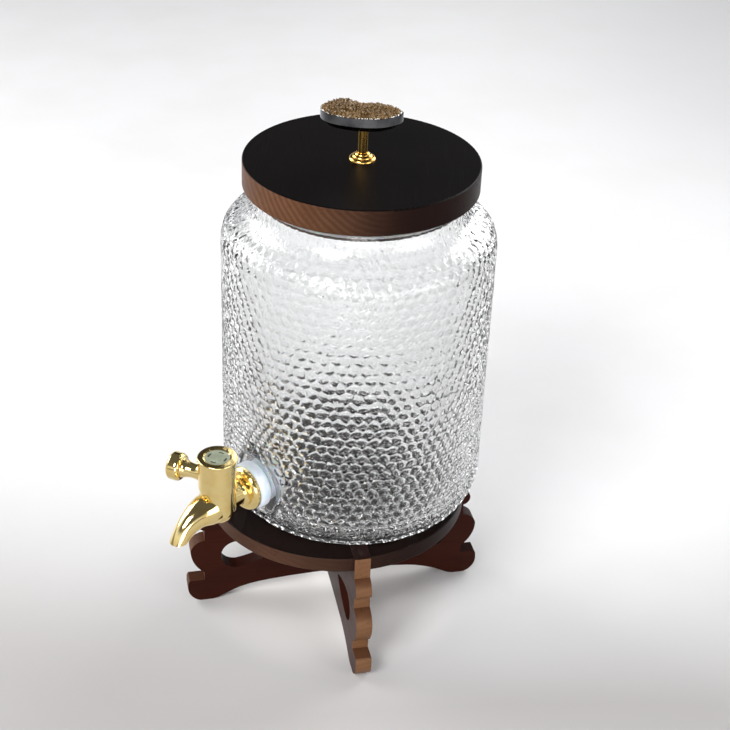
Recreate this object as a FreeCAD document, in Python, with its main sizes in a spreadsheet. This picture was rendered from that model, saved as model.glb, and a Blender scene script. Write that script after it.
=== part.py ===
import FreeCAD, Part
import os

import Sketcher

# A counter-top drink dispenser: a hammered-glass jar on a crossed-board wooden stand, with a
# quarter-turn plug tap through its wall and a wooden lid that carries a stone knob.
#
# Row frame, in millimetres: the origin is on the stand's axis at table level and +Z is up.
# The leg boards run along X and Y. The tap leaves the jar between the -X and the -Y leg.
#
# Three local frames are used besides the row frame, each set by its pieces' Placements:
#   jar frame   on the jar's axis at the top of the stand plate, +X towards the tap
#   tap frame   where the tap's level axis meets its upright valve axis, +X towards the spout
#   lid frame   on the jar's axis at the mouth's rim

# ---------------------------------------------------------------------------------------------
# Driving sizes: name, value in mm or degrees, meaning
# ---------------------------------------------------------------------------------------------
SIZES = [
    # stand
    ("plate_radius", 84.5, "stand plate, outer radius"),
    ("plate_thick", 10.3, "stand plate, thickness"),
    ("plate_top", 86.5, "height of the plate's top above the table"),
    ("plate_round", 0.8, "rounding of the plate's edges"),
    ("board_thick", 10.2, "leg board, thickness"),
    ("wood_clear", 0.1, "gap on each side of a glued wooden joint"),
    ("notch_depth", 14.0, "depth of an edge notch in the plate"),
    ("tab_proud", 1.5, "leg's edge beyond the plate's edge"),
    ("arch_height", 13.9, "height of the arch under a leg board"),
    ("arch_turn", 50.0, "distance where the arch turns down"),
    ("arch_turn_height", 11.2, "height where the arch turns down"),
    ("arch_turn_radius", 71.0, "arch, radius of its turn"),
    ("arch_foot_width", 6.5, "fillet between the arch and the foot's flat, width"),
    ("arch_foot_height", 2.0, "height where the arch meets the foot's fillet"),
    ("arch_fillet", 15.0, "fillet between the arch and the foot's flat"),
    ("foot_reach", 100.0, "foot lobe, reach from the stand's axis"),
    ("foot_toe", 7.8, "foot lobe, reach beyond the foot's flat"),
    ("foot_flat", 7.7, "width of a foot's flat"),
    ("foot_bulge_height", 13.0, "foot lobe, height of its widest point"),
    ("foot_top", 17.0, "foot lobe, height of its ledge"),
    ("foot_ledge_inset", 1.2, "foot lobe, outer end of its ledge behind its widest point"),
    ("lower_waist_inset", 11.2, "waist above the foot, behind the foot's widest point"),
    ("lower_waist_height", 23.5, "waist above the foot, height of its top"),
    ("lobe_reach", 97.8, "middle lobe, reach"),
    ("lobe_height", 42.0, "middle lobe, height of its widest point"),
    ("upper_waist_inset", 9.4, "waist above the middle lobe, behind the lobe's widest point"),
    ("upper_waist_height", 50.0, "waist above the middle lobe, height of its foot"),
    ("bead_foot", 58.2, "waist above the middle lobe, height of its top"),
    ("bead_reach", 92.8, "upper bead, reach"),
    ("bead_height", 64.0, "upper bead, height of its widest point"),
    ("bead_top", 71.5, "upper bead, height of its top"),
    ("toe_bow", 0.772, "foot lobe under its widest point, radius over chord"),
    ("ledge_bow", 1.149, "foot lobe above its widest point, radius over chord"),
    ("lobe_low_bow", 1.079, "middle lobe under its widest point, radius over chord"),
    ("lobe_high_bow", 0.843, "middle lobe above its widest point, radius over chord"),
    ("bead_low_bow", 0.797, "bead under its widest point, radius over chord"),
    ("bead_high_bow", 0.815, "bead above its widest point, radius over chord"),
    ("hole_centre", 66.8, "teardrop hole, distance of its round end's centre"),
    ("hole_height", 36.0, "teardrop hole, height of its round end's centre"),
    ("hole_radius", 10.8, "teardrop hole, radius of its round end"),
    ("hole_tip", 38.5, "teardrop hole, distance of its point"),
    ("hole_tip_height", 37.5, "teardrop hole, height of its point"),
    # jar
    ("jar_x", 8.5, "jar's axis from the stand's axis, along X"),
    ("jar_y", -5.0, "jar's axis from the stand's axis, along Y"),
    ("jar_radius", 83.0, "jar's outer radius"),
    ("jar_wall", 3.6, "jar's wall"),
    ("jar_height", 216.0, "jar's height, base to rim"),
    ("base_thick", 7.0, "glass at the middle of the base"),
    ("pushup_radius", 50.0, "radius of the hollow under the base"),
    ("pushup_depth", 1.6, "depth of the hollow under the base"),
    ("heel_radius", 24.6, "outer rounding between base and wall"),
    ("heel_inner", 20.0, "inner rounding between base and wall"),
    ("shoulder_drop", 34.0, "rim above the height where the wall turns in"),
    ("shoulder_radius", 14.5, "outer rounding of the shoulder"),
    ("neck_radius", 63.5, "outer radius of the neck"),
    ("mouth_radius", 59.5, "inner radius of the neck"),
    ("neck_fillet", 3.0, "rounding between shoulder and neck"),
    ("rim_round", 1.6, "rounding of the rim"),
    ("boss_face", 84.0, "distance of the tap boss's flat from the jar's axis"),
    ("boss_radius", 20.0, "radius of the tap boss"),
    ("boss_root", 0.8, "glass left behind the boss, inside the wall"),
    ("tap_hole", 8.1, "radius of the hole through the wall"),
    ("tap_height", 40.0, "tap's axis above the jar's base"),
    ("tap_angle", -147.0, "direction of the tap, about the jar's axis"),
    # tap
    ("barrel_reach", 113.5, "valve axis from the jar's axis"),
    ("washer_thick", 7.3, "outer washer, thickness"),
    ("washer_radius", 15.0, "outer washer, radius"),
    ("washer_hole", 7.7, "hole in both washers, radius"),
    ("inner_washer_radius", 12.6, "inner washer, radius"),
    ("inner_washer_thick", 3.8, "inner washer, thickness at its middle"),
    ("nut_thick", 4.5, "nut's hexagon, thickness"),
    ("nut_flange", 2.0, "nut's flange, thickness"),
    ("nut_corner", 12.6, "nut's hexagon, corner radius"),
    ("nut_flange_radius", 13.2, "nut's flange, radius"),
    ("thread_clear", 0.05, "gap between a threaded pair, on the radius"),
    ("shank_radius", 7.5, "threaded shank, radius"),
    ("shank_length", 28.5, "threaded shank, length behind the flange"),
    ("shank_chamfer", 1.0, "chamfer on the shank's end"),
    ("flange_radius", 14.1, "tap flange, radius"),
    ("flange_rim", 1.8, "tap flange, thickness of its rim"),
    ("flange_dome", 2.4, "tap flange, length of its dome"),
    ("flange_crown", 10.4, "tap flange, radius at the top of its dome"),
    ("collar_radius", 9.8, "collar in front of the flange, radius"),
    ("collar_length", 1.4, "collar in front of the flange, length"),
    ("neck_flare", 2.0, "length of the flare from collar to neck"),
    ("tap_neck", 7.6, "tap's neck, radius"),
    ("inlet_radius", 4.6, "bore through the shank, radius"),
    ("body_radius", 11.0, "valve body, radius"),
    ("body_top", 12.0, "valve body, top above the tap's axis"),
    ("body_bottom", 12.3, "valve body, bottom below the tap's axis"),
    ("body_round", 9.5, "valve body, rounding of its bottom"),
    ("chamber_radius", 7.2, "valve chamber, radius"),
    ("chamber_depth", 8.6, "valve chamber, floor below the tap's axis"),
    ("ring_seat", 8.6, "height of the retaining ring's seat"),
    ("ring_seat_radius", 8.4, "radius of the retaining ring's seat"),
    ("passage_radius", 4.0, "passage through the spout, radius"),
    ("spout_root_reach", 5.0, "spout's root, in front of the valve axis"),
    ("spout_root_drop", 1.0, "spout's root, below the tap's axis"),
    ("spout_root_radius", 10.2, "spout's root, radius"),
    ("spout_shoulder_reach", 12.0, "spout's shoulder, in front of the valve axis"),
    ("spout_shoulder_drop", 0.9, "spout's shoulder, below the tap's axis"),
    ("spout_shoulder_radius", 9.6, "spout's shoulder, radius"),
    ("spout_shoulder_slope", 5.0, "spout's shoulder, slope"),
    ("spout_bend_reach", 20.0, "spout's bend, in front of the valve axis"),
    ("spout_bend_drop", 2.9, "spout's bend, below the tap's axis"),
    ("spout_bend_radius", 7.4, "spout's bend, radius"),
    ("spout_bend_slope", 26.0, "spout's bend, slope"),
    ("spout_waist_reach", 26.0, "spout's waist, in front of the valve axis"),
    ("spout_waist_drop", 7.4, "spout's waist, below the tap's axis"),
    ("spout_waist_radius", 6.1, "spout's waist, radius"),
    ("spout_waist_slope", 46.0, "spout's waist, slope"),
    ("level_slope", 90.0, "slope that leaves the spout's mouth level"),
    ("spout_reach", 30.7, "spout's mouth, in front of the valve axis"),
    ("spout_drop", 13.2, "spout's mouth, below the tap's axis"),
    ("spout_mouth_radius", 5.55, "spout's mouth, outer radius"),
    # valve
    ("valve_clear", 0.06, "gap between plug and chamber, on the radius"),
    ("end_play", 0.3, "plug's end play"),
    ("port_radius", 3.6, "bore across the plug, radius"),
    ("seal_section", 1.5, "O-ring section, diameter"),
    ("seal_height", 6.1, "O-rings above and below the tap's axis"),
    ("stem_radius", 4.5, "plug's round stem, radius"),
    ("stem_top", 16.0, "plug's round stem, top above the tap's axis"),
    ("drive_width", 6.4, "plug's square drive, across flats"),
    ("drive_top", 24.0, "plug's square drive, top above the tap's axis"),
    ("drive_clear", 0.1, "gap between the square drive and its socket, each side"),
    ("ring_thick", 3.0, "retaining ring, thickness"),
    ("stem_clear", 0.3, "gap between the stem and the retaining ring"),
    ("stop_inner", 8.8, "stop collar on the body, inner radius"),
    ("stop_outer", 9.8, "stop collar on the body, outer radius"),
    ("stop_height", 2.8, "stop collar on the body, height"),
    ("lug_inner", 9.2, "handle's stop lug, inner radius"),
    ("lug_width", 3.2, "handle's stop lug, width"),
    ("lug_height", 2.2, "handle's stop lug, height"),
    ("stop_play", 1.0, "angle left between lug and stop at either end"),
    # handle
    ("seam_gap", 0.3, "gap between the body's top and the handle"),
    ("handle_radius", 11.65, "handle's barrel, radius"),
    ("handle_top", 33.4, "handle's barrel, top above the tap's axis"),
    ("handle_cavity", 10.2, "hollow in the handle, radius"),
    ("handle_cavity_top", 27.0, "hollow in the handle, top above the tap's axis"),
    ("hub_radius", 6.2, "hub inside the handle, radius"),
    ("lip_radius", 12.1, "lip round the handle's top, radius"),
    ("lip_height", 2.3, "lip round the handle's top, height"),
    ("lip_round", 0.8, "rounding of the lip"),
    ("cap_radius", 7.5, "cap insert, radius"),
    ("cap_thick", 1.9, "cap insert, thickness"),
    ("cap_clear", 0.1, "gap round the cap insert"),
    ("cap_sunk", 0.4, "cap insert below the handle's top"),
    ("cap_bevel", 1.1, "bevel round the cap's recess"),
    ("slot_radius", 5.4, "arc slots in the cap, middle radius"),
    ("slot_width", 1.1, "arc slots in the cap, width"),
    ("slot_half_angle", 20.0, "arc slots in the cap, half their angle"),
    ("slot_depth", 0.7, "arc slots in the cap, depth"),
    ("lever_height", 18.5, "lever's axis above the tap's axis"),
    ("lever_root", 5.8, "lever where it leaves the barrel, radius"),
    ("lever_root_reach", 9.6, "lever where it leaves the barrel, from the valve axis"),
    ("lever_waist", 4.6, "lever's waist, radius"),
    ("lever_waist_reach", 17.4, "lever's waist, from the valve axis"),
    ("lever_neck", 5.6, "lever behind its knob, radius"),
    ("knob_back", 22.8, "back of the lever's knob, from the valve axis"),
    ("lever_knob_radius", 8.7, "lever's knob, radius"),
    ("lever_knob_thick", 9.6, "lever's knob, thickness"),
    ("lever_knob_round", 2.8, "rounding of the lever's knob"),
    ("lever_closed", -90.0, "lever's closed stop, from the spout"),
    ("lever_open", 0.0, "lever's open stop, from the spout"),
    ("lever_rest", -68.0, "lever as stored, from the spout"),
    ("screw_radius", 1.5, "handle screw, radius"),
    ("screw_head_radius", 3.3, "handle screw, head radius"),
    ("screw_head", 2.2, "handle screw, head height"),
    ("screw_reach", 9.0, "handle screw, length in the plug"),
    ("screw_slot", 1.0, "driver slots in the screws, width"),
    # lid
    ("lid_radius", 70.1, "lid board, radius"),
    ("lid_thick", 15.9, "lid board, thickness"),
    ("lid_round", 1.0, "rounding of the lid board's edges"),
    ("plug_depth", 9.0, "locating disc under the lid, depth"),
    ("plug_gap", 2.3, "locating disc to the mouth, on the radius"),
    ("plug_round", 1.2, "rounding of the locating disc"),
    ("groove_depth", 2.4, "seal groove, depth"),
    ("groove_top", 2.6, "seal groove, top below the rim"),
    ("groove_height", 3.8, "seal groove, height"),
    ("seal_gap", 0.3, "seal's lips to the mouth, on the radius"),
    ("lip_thick", 0.8, "seal's lips, thickness"),
    ("bolt_radius", 2.0, "knob bolt, radius"),
    ("bolt_clear", 0.3, "gap round the knob bolt in the wood"),
    ("bolt_recess_radius", 7.0, "recess for the bolt's head, radius"),
    ("bolt_recess_depth", 5.0, "recess for the bolt's head, depth"),
    ("bolt_head_radius", 3.9, "knob bolt, head radius"),
    ("bolt_head", 2.8, "knob bolt, head height"),
    ("bolt_grip", 11.0, "knob bolt, length inside the stem"),
    ("lid_washer_radius", 6.0, "washer under the bolt's head, radius"),
    ("lid_washer_thick", 1.0, "washer under the bolt's head, thickness"),
    # knob
    ("rose_radius", 8.0, "knob base, radius"),
    ("rose_height", 4.2, "knob base, height"),
    ("knob_stem_radius", 2.95, "knob stem, radius"),
    ("knob_plate_radius", 7.5, "plate at the stem's top, radius"),
    ("knob_plate_thick", 1.2, "plate at the stem's top, thickness"),
    ("stone_height", 22.3, "underside of the stone above the lid"),
    ("stone_width", 46.0, "stone, width inside its band"),
    ("stone_depth", 28.6, "stone, depth inside its band"),
    ("stone_thick", 8.3, "stone, thickness at its edge"),
    ("stone_crown", 3.4, "crystals above the stone's edge"),
    ("crown_share", 0.86, "crystal crown's outline as a share of the stone's"),
    ("stone_bevel", 3.2, "bevel under the stone, height"),
    ("bevel_share", 0.84, "stone's foot outline as a share of the stone's"),
    ("stone_offset", -1.4, "stone's middle from the stem, along its width"),
    ("stone_angle", -13.0, "direction of the stone's width, about the jar's axis"),
    ("band_thick", 0.7, "plated band round the stone, thickness"),
]

# Places worked out from the driving sizes: name, formula, meaning
PLACES = [
    ("foot_outer", "foot_reach - foot_toe", "outer end of a foot's flat"),
    ("foot_inner", "foot_outer - foot_flat", "inner end of a foot's flat"),
    ("arch_foot", "foot_inner - arch_foot_width", "distance where the arch meets the foot's fillet"),
    ("foot_ledge", "foot_reach - foot_ledge_inset", "foot lobe, outer end of its ledge"),
    ("lower_waist", "foot_reach - lower_waist_inset", "waist above the foot, distance from the axis"),
    ("upper_waist", "lobe_reach - upper_waist_inset", "waist above the middle lobe, distance from the axis"),
    ("plate_under", "plate_top - plate_thick", "underside of the plate"),
    ("lap_height", "(plate_under + arch_height) / 2", "middle of the boards' half-lap"),
    ("jar_bore", "jar_radius - jar_wall", "inner radius of the jar's wall"),
    ("shoulder_height", "jar_height - shoulder_drop", "height where the wall turns in"),
    ("shoulder_top", "shoulder_height + shoulder_radius", "top of the shoulder"),
    ("mouth_plane", "plate_top + jar_height", "height of the rim"),
    ("tap_x", "jar_x + barrel_reach * cos(tap_angle)", "valve axis, X"),
    ("tap_y", "jar_y + barrel_reach * sin(tap_angle)", "valve axis, Y"),
    ("tap_z", "plate_top + tap_height", "tap's axis, height"),
    ("boss_x", "boss_face - barrel_reach", "tap boss in the tap frame"),
    ("flange_x", "boss_x + washer_thick", "back of the flange in the tap frame"),
    ("nut_x", "jar_bore - inner_washer_thick - barrel_reach", "front of the nut in the tap frame"),
    ("plug_radius", "chamber_radius - valve_clear", "plug's radius"),
    ("handle_foot", "body_top + seam_gap", "underside of the handle"),
    ("cap_floor", "handle_top - cap_sunk - cap_thick", "floor of the cap's recess"),
    ("lever_azimuth", "tap_angle + lever_rest", "direction of the lever at rest"),
    ("lug_half_angle", "asin(lug_width / 2 / lug_inner) / 1deg", "half the angle that the lug takes"),
    ("stop_gap", "lever_open - lever_closed + 2 * (lug_half_angle + stop_play)", "gap in the stop collar"),
    ("lid_plug_radius", "mouth_radius - plug_gap", "locating disc's radius"),
    ("groove_radius", "lid_plug_radius - groove_depth", "floor of the seal groove"),
    ("bolt_hole", "bolt_radius + bolt_clear", "bolt's hole in the wood"),
]

# The stone's outline, as shares of its half width and half depth, counter-clockwise: a flat
# natural slice with a bay in its rear edge.
STONE_OUTLINE = [(1.00, -0.14), (0.83, 0.20), (0.47, 0.57), (-0.02, 0.43), (-0.43, 0.97), (-0.82, 0.60),
                 (-1.00, 0.05), (-0.90, -0.46), (-0.55, -0.84), (-0.05, -1.03), (0.42, -1.00), (0.83, -0.66)]

CURVE_STEPS = 24
SLOTS_IN_CAP = 4
LEGS = 4


# ---------------------------------------------------------------------------------------------
# Spreadsheets and expressions
# ---------------------------------------------------------------------------------------------
doc = FreeCAD.newDocument("drink_dispenser")
ALIASES = {}


def qualified(formula):
    """Put the name of its sheet before each size in a formula."""
    word = ""
    text = ""
    for letter in formula + " ":
        if letter.isalnum() or letter == "_":
            word += letter
        else:
            text += ALIASES.get(word, "") + word + letter
            word = ""
    return text.strip()


def fill_sheet(name, rows, is_formula):
    sheet = doc.addObject("Spreadsheet::Sheet", name)
    for number, (alias, content, meaning) in enumerate(rows, start=1):
        sheet.set("A%d" % number, alias)
        sheet.set("B%d" % number, "=" + qualified(content) if is_formula else str(content))
        sheet.set("C%d" % number, meaning)
        sheet.setAlias("B%d" % number, alias)
        ALIASES[alias] = name + "."
    doc.recompute()
    return sheet


sizes = fill_sheet("Sizes", SIZES, False)
fill_sheet("Places", PLACES, True)


def value(formula):
    """Work out a formula from the sheets."""
    return float(sizes.evalExpression(qualified(formula)))


def bind(item, **formulas):
    """Tie properties to formulas. Two underscores in a name stand for a dot."""
    for name, formula in formulas.items():
        item.setExpression(name.replace("__", "."), qualified(formula))


def place(item, x="0", y="0", z="0", turn="0"):
    item.Placement = FreeCAD.Placement(FreeCAD.Vector(), FreeCAD.Rotation(FreeCAD.Vector(0, 0, 1), 1))
    bind(item, Placement__Base__x=x, Placement__Base__y=y, Placement__Base__z=z, Placement__Rotation__Angle=turn)


# ---------------------------------------------------------------------------------------------
# Bodies, sketches and features
# ---------------------------------------------------------------------------------------------
def new_body(label):
    body = doc.addObject("PartDesign::Body", label)
    body.Label = label
    return body


def origin_item(body, role):
    return next(item for item in body.Origin.OriginFeatures if item.Role == role)


def new_sketch(body, role="XZ_Plane", x="0", y="0", z="0", tilt=None, turn=None):
    """Start a sketch on an origin plane, moved by x, y, z in the plane's own axes."""
    sketch = body.newObject("Sketcher::SketchObject", body.Label + "_sketch")
    sketch.AttachmentSupport = [(origin_item(body, role), "")]
    sketch.MapMode = "FlatFace"
    bind(sketch, AttachmentOffset__Base__x=x, AttachmentOffset__Base__y=y, AttachmentOffset__Base__z=z)
    if tilt or turn:
        axis = FreeCAD.Vector(1, 0, 0) if tilt else FreeCAD.Vector(0, 0, 1)
        sketch.AttachmentOffset = FreeCAD.Placement(FreeCAD.Vector(), FreeCAD.Rotation(axis, 1))
        bind(sketch, AttachmentOffset__Rotation__Angle=tilt or turn)
    return sketch


def fix(sketch, kind, formula, *geometry):
    """Add a dimension and tie it to its formula."""
    number = sketch.addConstraint(Sketcher.Constraint(kind, *geometry, value(formula)))
    sketch.setExpression("Constraints[%d]" % number, qualified(formula))


def arc_between(start, end, radius):
    """Give the shorter arc from start to end. A positive radius runs counter-clockwise."""
    chord = end - start
    rise = max(radius * radius - chord.Length ** 2 / 4, 0.0) ** 0.5
    left = FreeCAD.Vector(-chord.y, chord.x, 0).normalize()
    centre = (start + end) / 2 + left * (rise if radius > 0 else -rise)
    first, last = (start, end) if radius > 0 else (end, start)
    circle = Part.Circle(centre, FreeCAD.Vector(0, 0, 1), abs(radius))
    return Part.ArcOfCircle(circle, circle.parameter(first), circle.parameter(last))


def draw_loop(sketch, corners):
    """Draw a closed outline of (x, y) or (x, y, radius of the arc to the next corner)."""
    points = [FreeCAD.Vector(value(corner[0]), value(corner[1]), 0) for corner in corners]
    ends = []
    for number, corner in enumerate(corners):
        start, end = points[number], points[(number + 1) % len(points)]
        if len(corner) == 2:
            edge = sketch.addGeometry(Part.LineSegment(start, end), False)
            ends.append((edge, 1, 2))
        else:
            radius = value(corner[2])
            edge = sketch.addGeometry(arc_between(start, end, radius), False)
            ends.append((edge, 1, 2) if radius > 0 else (edge, 2, 1))
            sign = "" if radius > 0 else "-"
            fix(sketch, "Radius", "%s(%s)" % (sign, corner[2]), edge)
    for number, corner in enumerate(corners):
        edge, first, last = ends[number]
        following = ends[(number + 1) % len(ends)]
        sketch.addConstraint(Sketcher.Constraint("Coincident", edge, last, following[0], following[1]))
        fix(sketch, "DistanceX", corner[0], -1, 1, edge, first)
        fix(sketch, "DistanceY", corner[1], -1, 1, edge, first)


def draw_circle(sketch, radius, x="0", y="0"):
    centre = FreeCAD.Vector(value(x), value(y), 0)
    edge = sketch.addGeometry(Part.Circle(centre, FreeCAD.Vector(0, 0, 1), value(radius)), False)
    fix(sketch, "Radius", radius, edge)
    fix(sketch, "DistanceX", x, -1, 1, edge, 3)
    fix(sketch, "DistanceY", y, -1, 1, edge, 3)


def draw_box(sketch, x_low, x_high, y_low, y_high):
    draw_loop(sketch, [(x_low, y_low), (x_high, y_low), (x_high, y_high), (x_low, y_high)])


def add_feature(body, kind, sketch, adds):
    """Add a feature and make sure that it adds or removes material."""
    before = body.Shape.Volume if body.Tip else 0.0
    feature = body.newObject("PartDesign::" + kind, body.Label + "_" + kind.lower())
    if sketch:
        feature.Profile = sketch
    body.Tip = feature
    return feature, before, adds


def settle(body, feature, before, adds):
    doc.recompute()
    change = body.Shape.Volume - before
    if (change > 0) != adds or abs(change) < 1e-6:
        raise ValueError("%s changes nothing" % feature.Name)
    return feature


def revolve(body, sketch, axis="V_Axis", cut=False):
    kind = "Groove" if cut else "Revolution"
    feature, before, adds = add_feature(body, kind, sketch, not cut)
    feature.ReferenceAxis = (sketch, [axis])
    feature.Angle = 360
    return settle(body, feature, before, adds)


def extrude(body, sketch, length, cut=False, backwards=False, both_ways=False):
    kind = "Pocket" if cut else "Pad"
    feature, before, adds = add_feature(body, kind, sketch, not cut)
    feature.Reversed = backwards
    feature.SideType = "Symmetric" if both_ways else "One side"
    bind(feature, Length=length)
    return settle(body, feature, before, adds)


def loft(body, sections, cut=False):
    kind = "SubtractiveLoft" if cut else "AdditiveLoft"
    feature, before, adds = add_feature(body, kind, sections[0], not cut)
    feature.Sections = sections[1:]
    return settle(body, feature, before, adds)


def repeat_round(body, original, count, adds):
    feature, before, adds = add_feature(body, "PolarPattern", None, adds)
    feature.Originals = [original]
    feature.Axis = (origin_item(body, "Z_Axis"), [""])
    feature.Angle = 360
    feature.Occurrences = count
    return settle(body, feature, before, adds)


def turned(label, corners, role="XZ_Plane"):
    """Make a piece that is one outline turned round the body's Z axis."""
    body = new_body(label)
    sketch = new_sketch(body, role)
    draw_loop(sketch, corners)
    revolve(body, sketch)
    return body


# ---------------------------------------------------------------------------------------------
# Stand
# ---------------------------------------------------------------------------------------------
def make_stand_plate():
    """Round plate with a notch in its edge for each leg's tab."""
    outline = [("0", "plate_under"),
               ("plate_radius - plate_round", "plate_under", "plate_round"),
               ("plate_radius", "plate_under + plate_round"),
               ("plate_radius", "plate_top - plate_round", "plate_round"),
               ("plate_radius - plate_round", "plate_top"),
               ("0", "plate_top")]
    body = turned("stand_plate", outline)
    sketch = new_sketch(body, "XY_Plane", z="plate_top")
    draw_box(sketch, "plate_radius - notch_depth - wood_clear", "plate_radius + notch_depth",
             "-board_thick / 2 - wood_clear", "board_thick / 2 + wood_clear")
    notch = extrude(body, sketch, "plate_thick + wood_clear", cut=True)
    repeat_round(body, notch, LEGS, adds=False)


def bow(x_from, y_from, x_to, y_to, fullness):
    """Give the radius of an arc as a share of its chord, so that it fits however far its ends are."""
    return "%s * sqrt((%s - (%s)) ^ 2 + (%s - (%s)) ^ 2)" % (fullness, x_to, x_from, y_to, y_from)


def leg_outline():
    """Half of a leg board: arch, foot lobe, middle lobe, bead and the tab in the plate's notch."""
    tab_edge = "(plate_radius + tab_proud)"
    tab_root = "plate_radius - notch_depth"
    under = "plate_under - wood_clear"
    crown = "(arch_height - arch_turn_height)"
    toe = bow("foot_outer", "0", "foot_reach", "foot_bulge_height", "toe_bow")
    ledge = bow("foot_reach", "foot_bulge_height", "foot_ledge", "foot_top", "ledge_bow")
    lobe_low = bow("lower_waist", "lower_waist_height", "lobe_reach", "lobe_height", "lobe_low_bow")
    lobe_high = bow("lobe_reach", "lobe_height", "upper_waist", "upper_waist_height", "lobe_high_bow")
    bead_low = bow("upper_waist", "bead_foot", "bead_reach", "bead_height", "bead_low_bow")
    bead_high = bow("bead_reach", "bead_height", tab_edge, "bead_top", "bead_high_bow")
    return [("0", "arch_height", "-(arch_turn * arch_turn + %s * %s) / (2 * %s)" % (crown, crown, crown)),
            ("arch_turn", "arch_turn_height", "-arch_turn_radius"),
            ("arch_foot", "arch_foot_height", "arch_fillet"),
            ("foot_inner", "0"),
            ("foot_outer", "0", toe),
            ("foot_reach", "foot_bulge_height", ledge),
            ("foot_ledge", "foot_top"),
            ("lower_waist", "foot_top"),
            ("lower_waist", "lower_waist_height", lobe_low),
            ("lobe_reach", "lobe_height", lobe_high),
            ("upper_waist", "upper_waist_height"),
            ("upper_waist", "bead_foot", bead_low),
            ("bead_reach", "bead_height", bead_high),
            (tab_edge, "bead_top"),
            (tab_edge, "plate_top"),
            (tab_root, "plate_top"),
            (tab_root, under),
            ("0", under)]


def hole_outline():
    """Teardrop: a round outer end drawn out to a point towards the stand's middle."""
    return [("hole_tip", "hole_tip_height", "2 * (hole_centre - hole_tip)"),
            ("hole_centre", "hole_height - hole_radius", "hole_radius"),
            ("hole_centre + hole_radius", "hole_height", "hole_radius"),
            ("hole_centre", "hole_height + hole_radius", "2 * (hole_centre - hole_tip)")]


def make_leg_board(label, turn, slot_low, slot_high):
    """One of two crossed boards, each with two legs, halved over each other at the middle."""
    body = new_body(label)
    outline = new_sketch(body)
    draw_loop(outline, leg_outline())
    half = extrude(body, outline, "board_thick", both_ways=True)
    opening = new_sketch(body)
    draw_loop(opening, hole_outline())
    hole = extrude(body, opening, "2 * board_thick", cut=True, both_ways=True)
    mirrored, before, adds = add_feature(body, "Mirrored", None, True)
    mirrored.Originals = [half, hole]
    mirrored.MirrorPlane = (origin_item(body, "YZ_Plane"), [""])
    settle(body, mirrored, before, adds)
    slot = new_sketch(body)
    draw_box(slot, "-board_thick / 2 - wood_clear", "board_thick / 2 + wood_clear", slot_low, slot_high)
    extrude(body, slot, "2 * board_thick", cut=True, both_ways=True)
    place(body, turn=turn)


def make_stand():
    make_stand_plate()
    make_leg_board("leg_board_lower", "90", "lap_height - wood_clear / 2", "plate_top")
    make_leg_board("leg_board_upper", "0", "0", "lap_height + wood_clear / 2")


# ---------------------------------------------------------------------------------------------
# Jar
# ---------------------------------------------------------------------------------------------
def jar_outline():
    """Half section of the glass, from the hollow under the base round to the floor inside."""
    neck_foot = "neck_radius + neck_fillet"
    inner_shoulder = "shoulder_top - jar_wall"
    pushup = "(pushup_radius * pushup_radius + pushup_depth * pushup_depth) / (2 * pushup_depth)"
    return [("0", "pushup_depth", "-" + pushup),
            ("pushup_radius", "0"),
            ("jar_radius - heel_radius", "0", "heel_radius"),
            ("jar_radius", "heel_radius"),
            ("jar_radius", "shoulder_height", "shoulder_radius"),
            ("jar_radius - shoulder_radius", "shoulder_top"),
            (neck_foot, "shoulder_top", "-neck_fillet"),
            ("neck_radius", "shoulder_top + neck_fillet"),
            ("neck_radius", "jar_height - rim_round", "rim_round"),
            ("neck_radius - rim_round", "jar_height"),
            ("mouth_radius + rim_round", "jar_height", "rim_round"),
            ("mouth_radius", "jar_height - rim_round"),
            ("mouth_radius", inner_shoulder),
            ("jar_radius - shoulder_radius", inner_shoulder, "-(shoulder_radius - jar_wall)"),
            ("jar_bore", "shoulder_height"),
            ("jar_bore", "base_thick + heel_inner", "-heel_inner"),
            ("jar_bore - heel_inner", "base_thick"),
            ("0", "base_thick")]


def make_glass_jar():
    body = turned("glass_jar", jar_outline())
    boss = new_sketch(body, "YZ_Plane", z="boss_face")
    draw_circle(boss, "boss_radius", y="tap_height")
    extrude(body, boss, "boss_face - jar_bore - boss_root", backwards=True)
    hole = new_sketch(body, "YZ_Plane", z="boss_face")
    draw_circle(hole, "tap_hole", y="tap_height")
    extrude(body, hole, "boss_face - jar_bore + jar_wall", cut=True)
    place(body, "jar_x", "jar_y", "plate_top", "tap_angle")


# ---------------------------------------------------------------------------------------------
# Tap: what stays still
# ---------------------------------------------------------------------------------------------
def place_in_tap(body, turn="tap_angle"):
    place(body, "tap_x", "tap_y", "tap_z", turn)


def spout_section(body, reach, drop, slope, radius):
    """A round section of the spout, square to its slope."""
    sketch = new_sketch(body, "YZ_Plane", y="-" + drop, z=reach, tilt=slope)
    draw_circle(sketch, radius)
    return sketch


def spout_outside(body):
    sections = [spout_section(body, "spout_root_reach", "spout_root_drop", None, "spout_root_radius")]
    for name in ("spout_shoulder", "spout_bend", "spout_waist"):
        sections.append(spout_section(body, name + "_reach", name + "_drop", name + "_slope", name + "_radius"))
    return sections + [spout_section(body, "spout_reach", "spout_drop", "level_slope", "spout_mouth_radius")]


def spout_passage(body):
    sections = [spout_section(body, "0", "0", None, "passage_radius")]
    for name in ("spout_shoulder", "spout_bend", "spout_waist"):
        sections.append(spout_section(body, name + "_reach", name + "_drop", name + "_slope", "passage_radius"))
    return sections + [spout_section(body, "spout_reach", "spout_drop", "level_slope", "passage_radius")]


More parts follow.
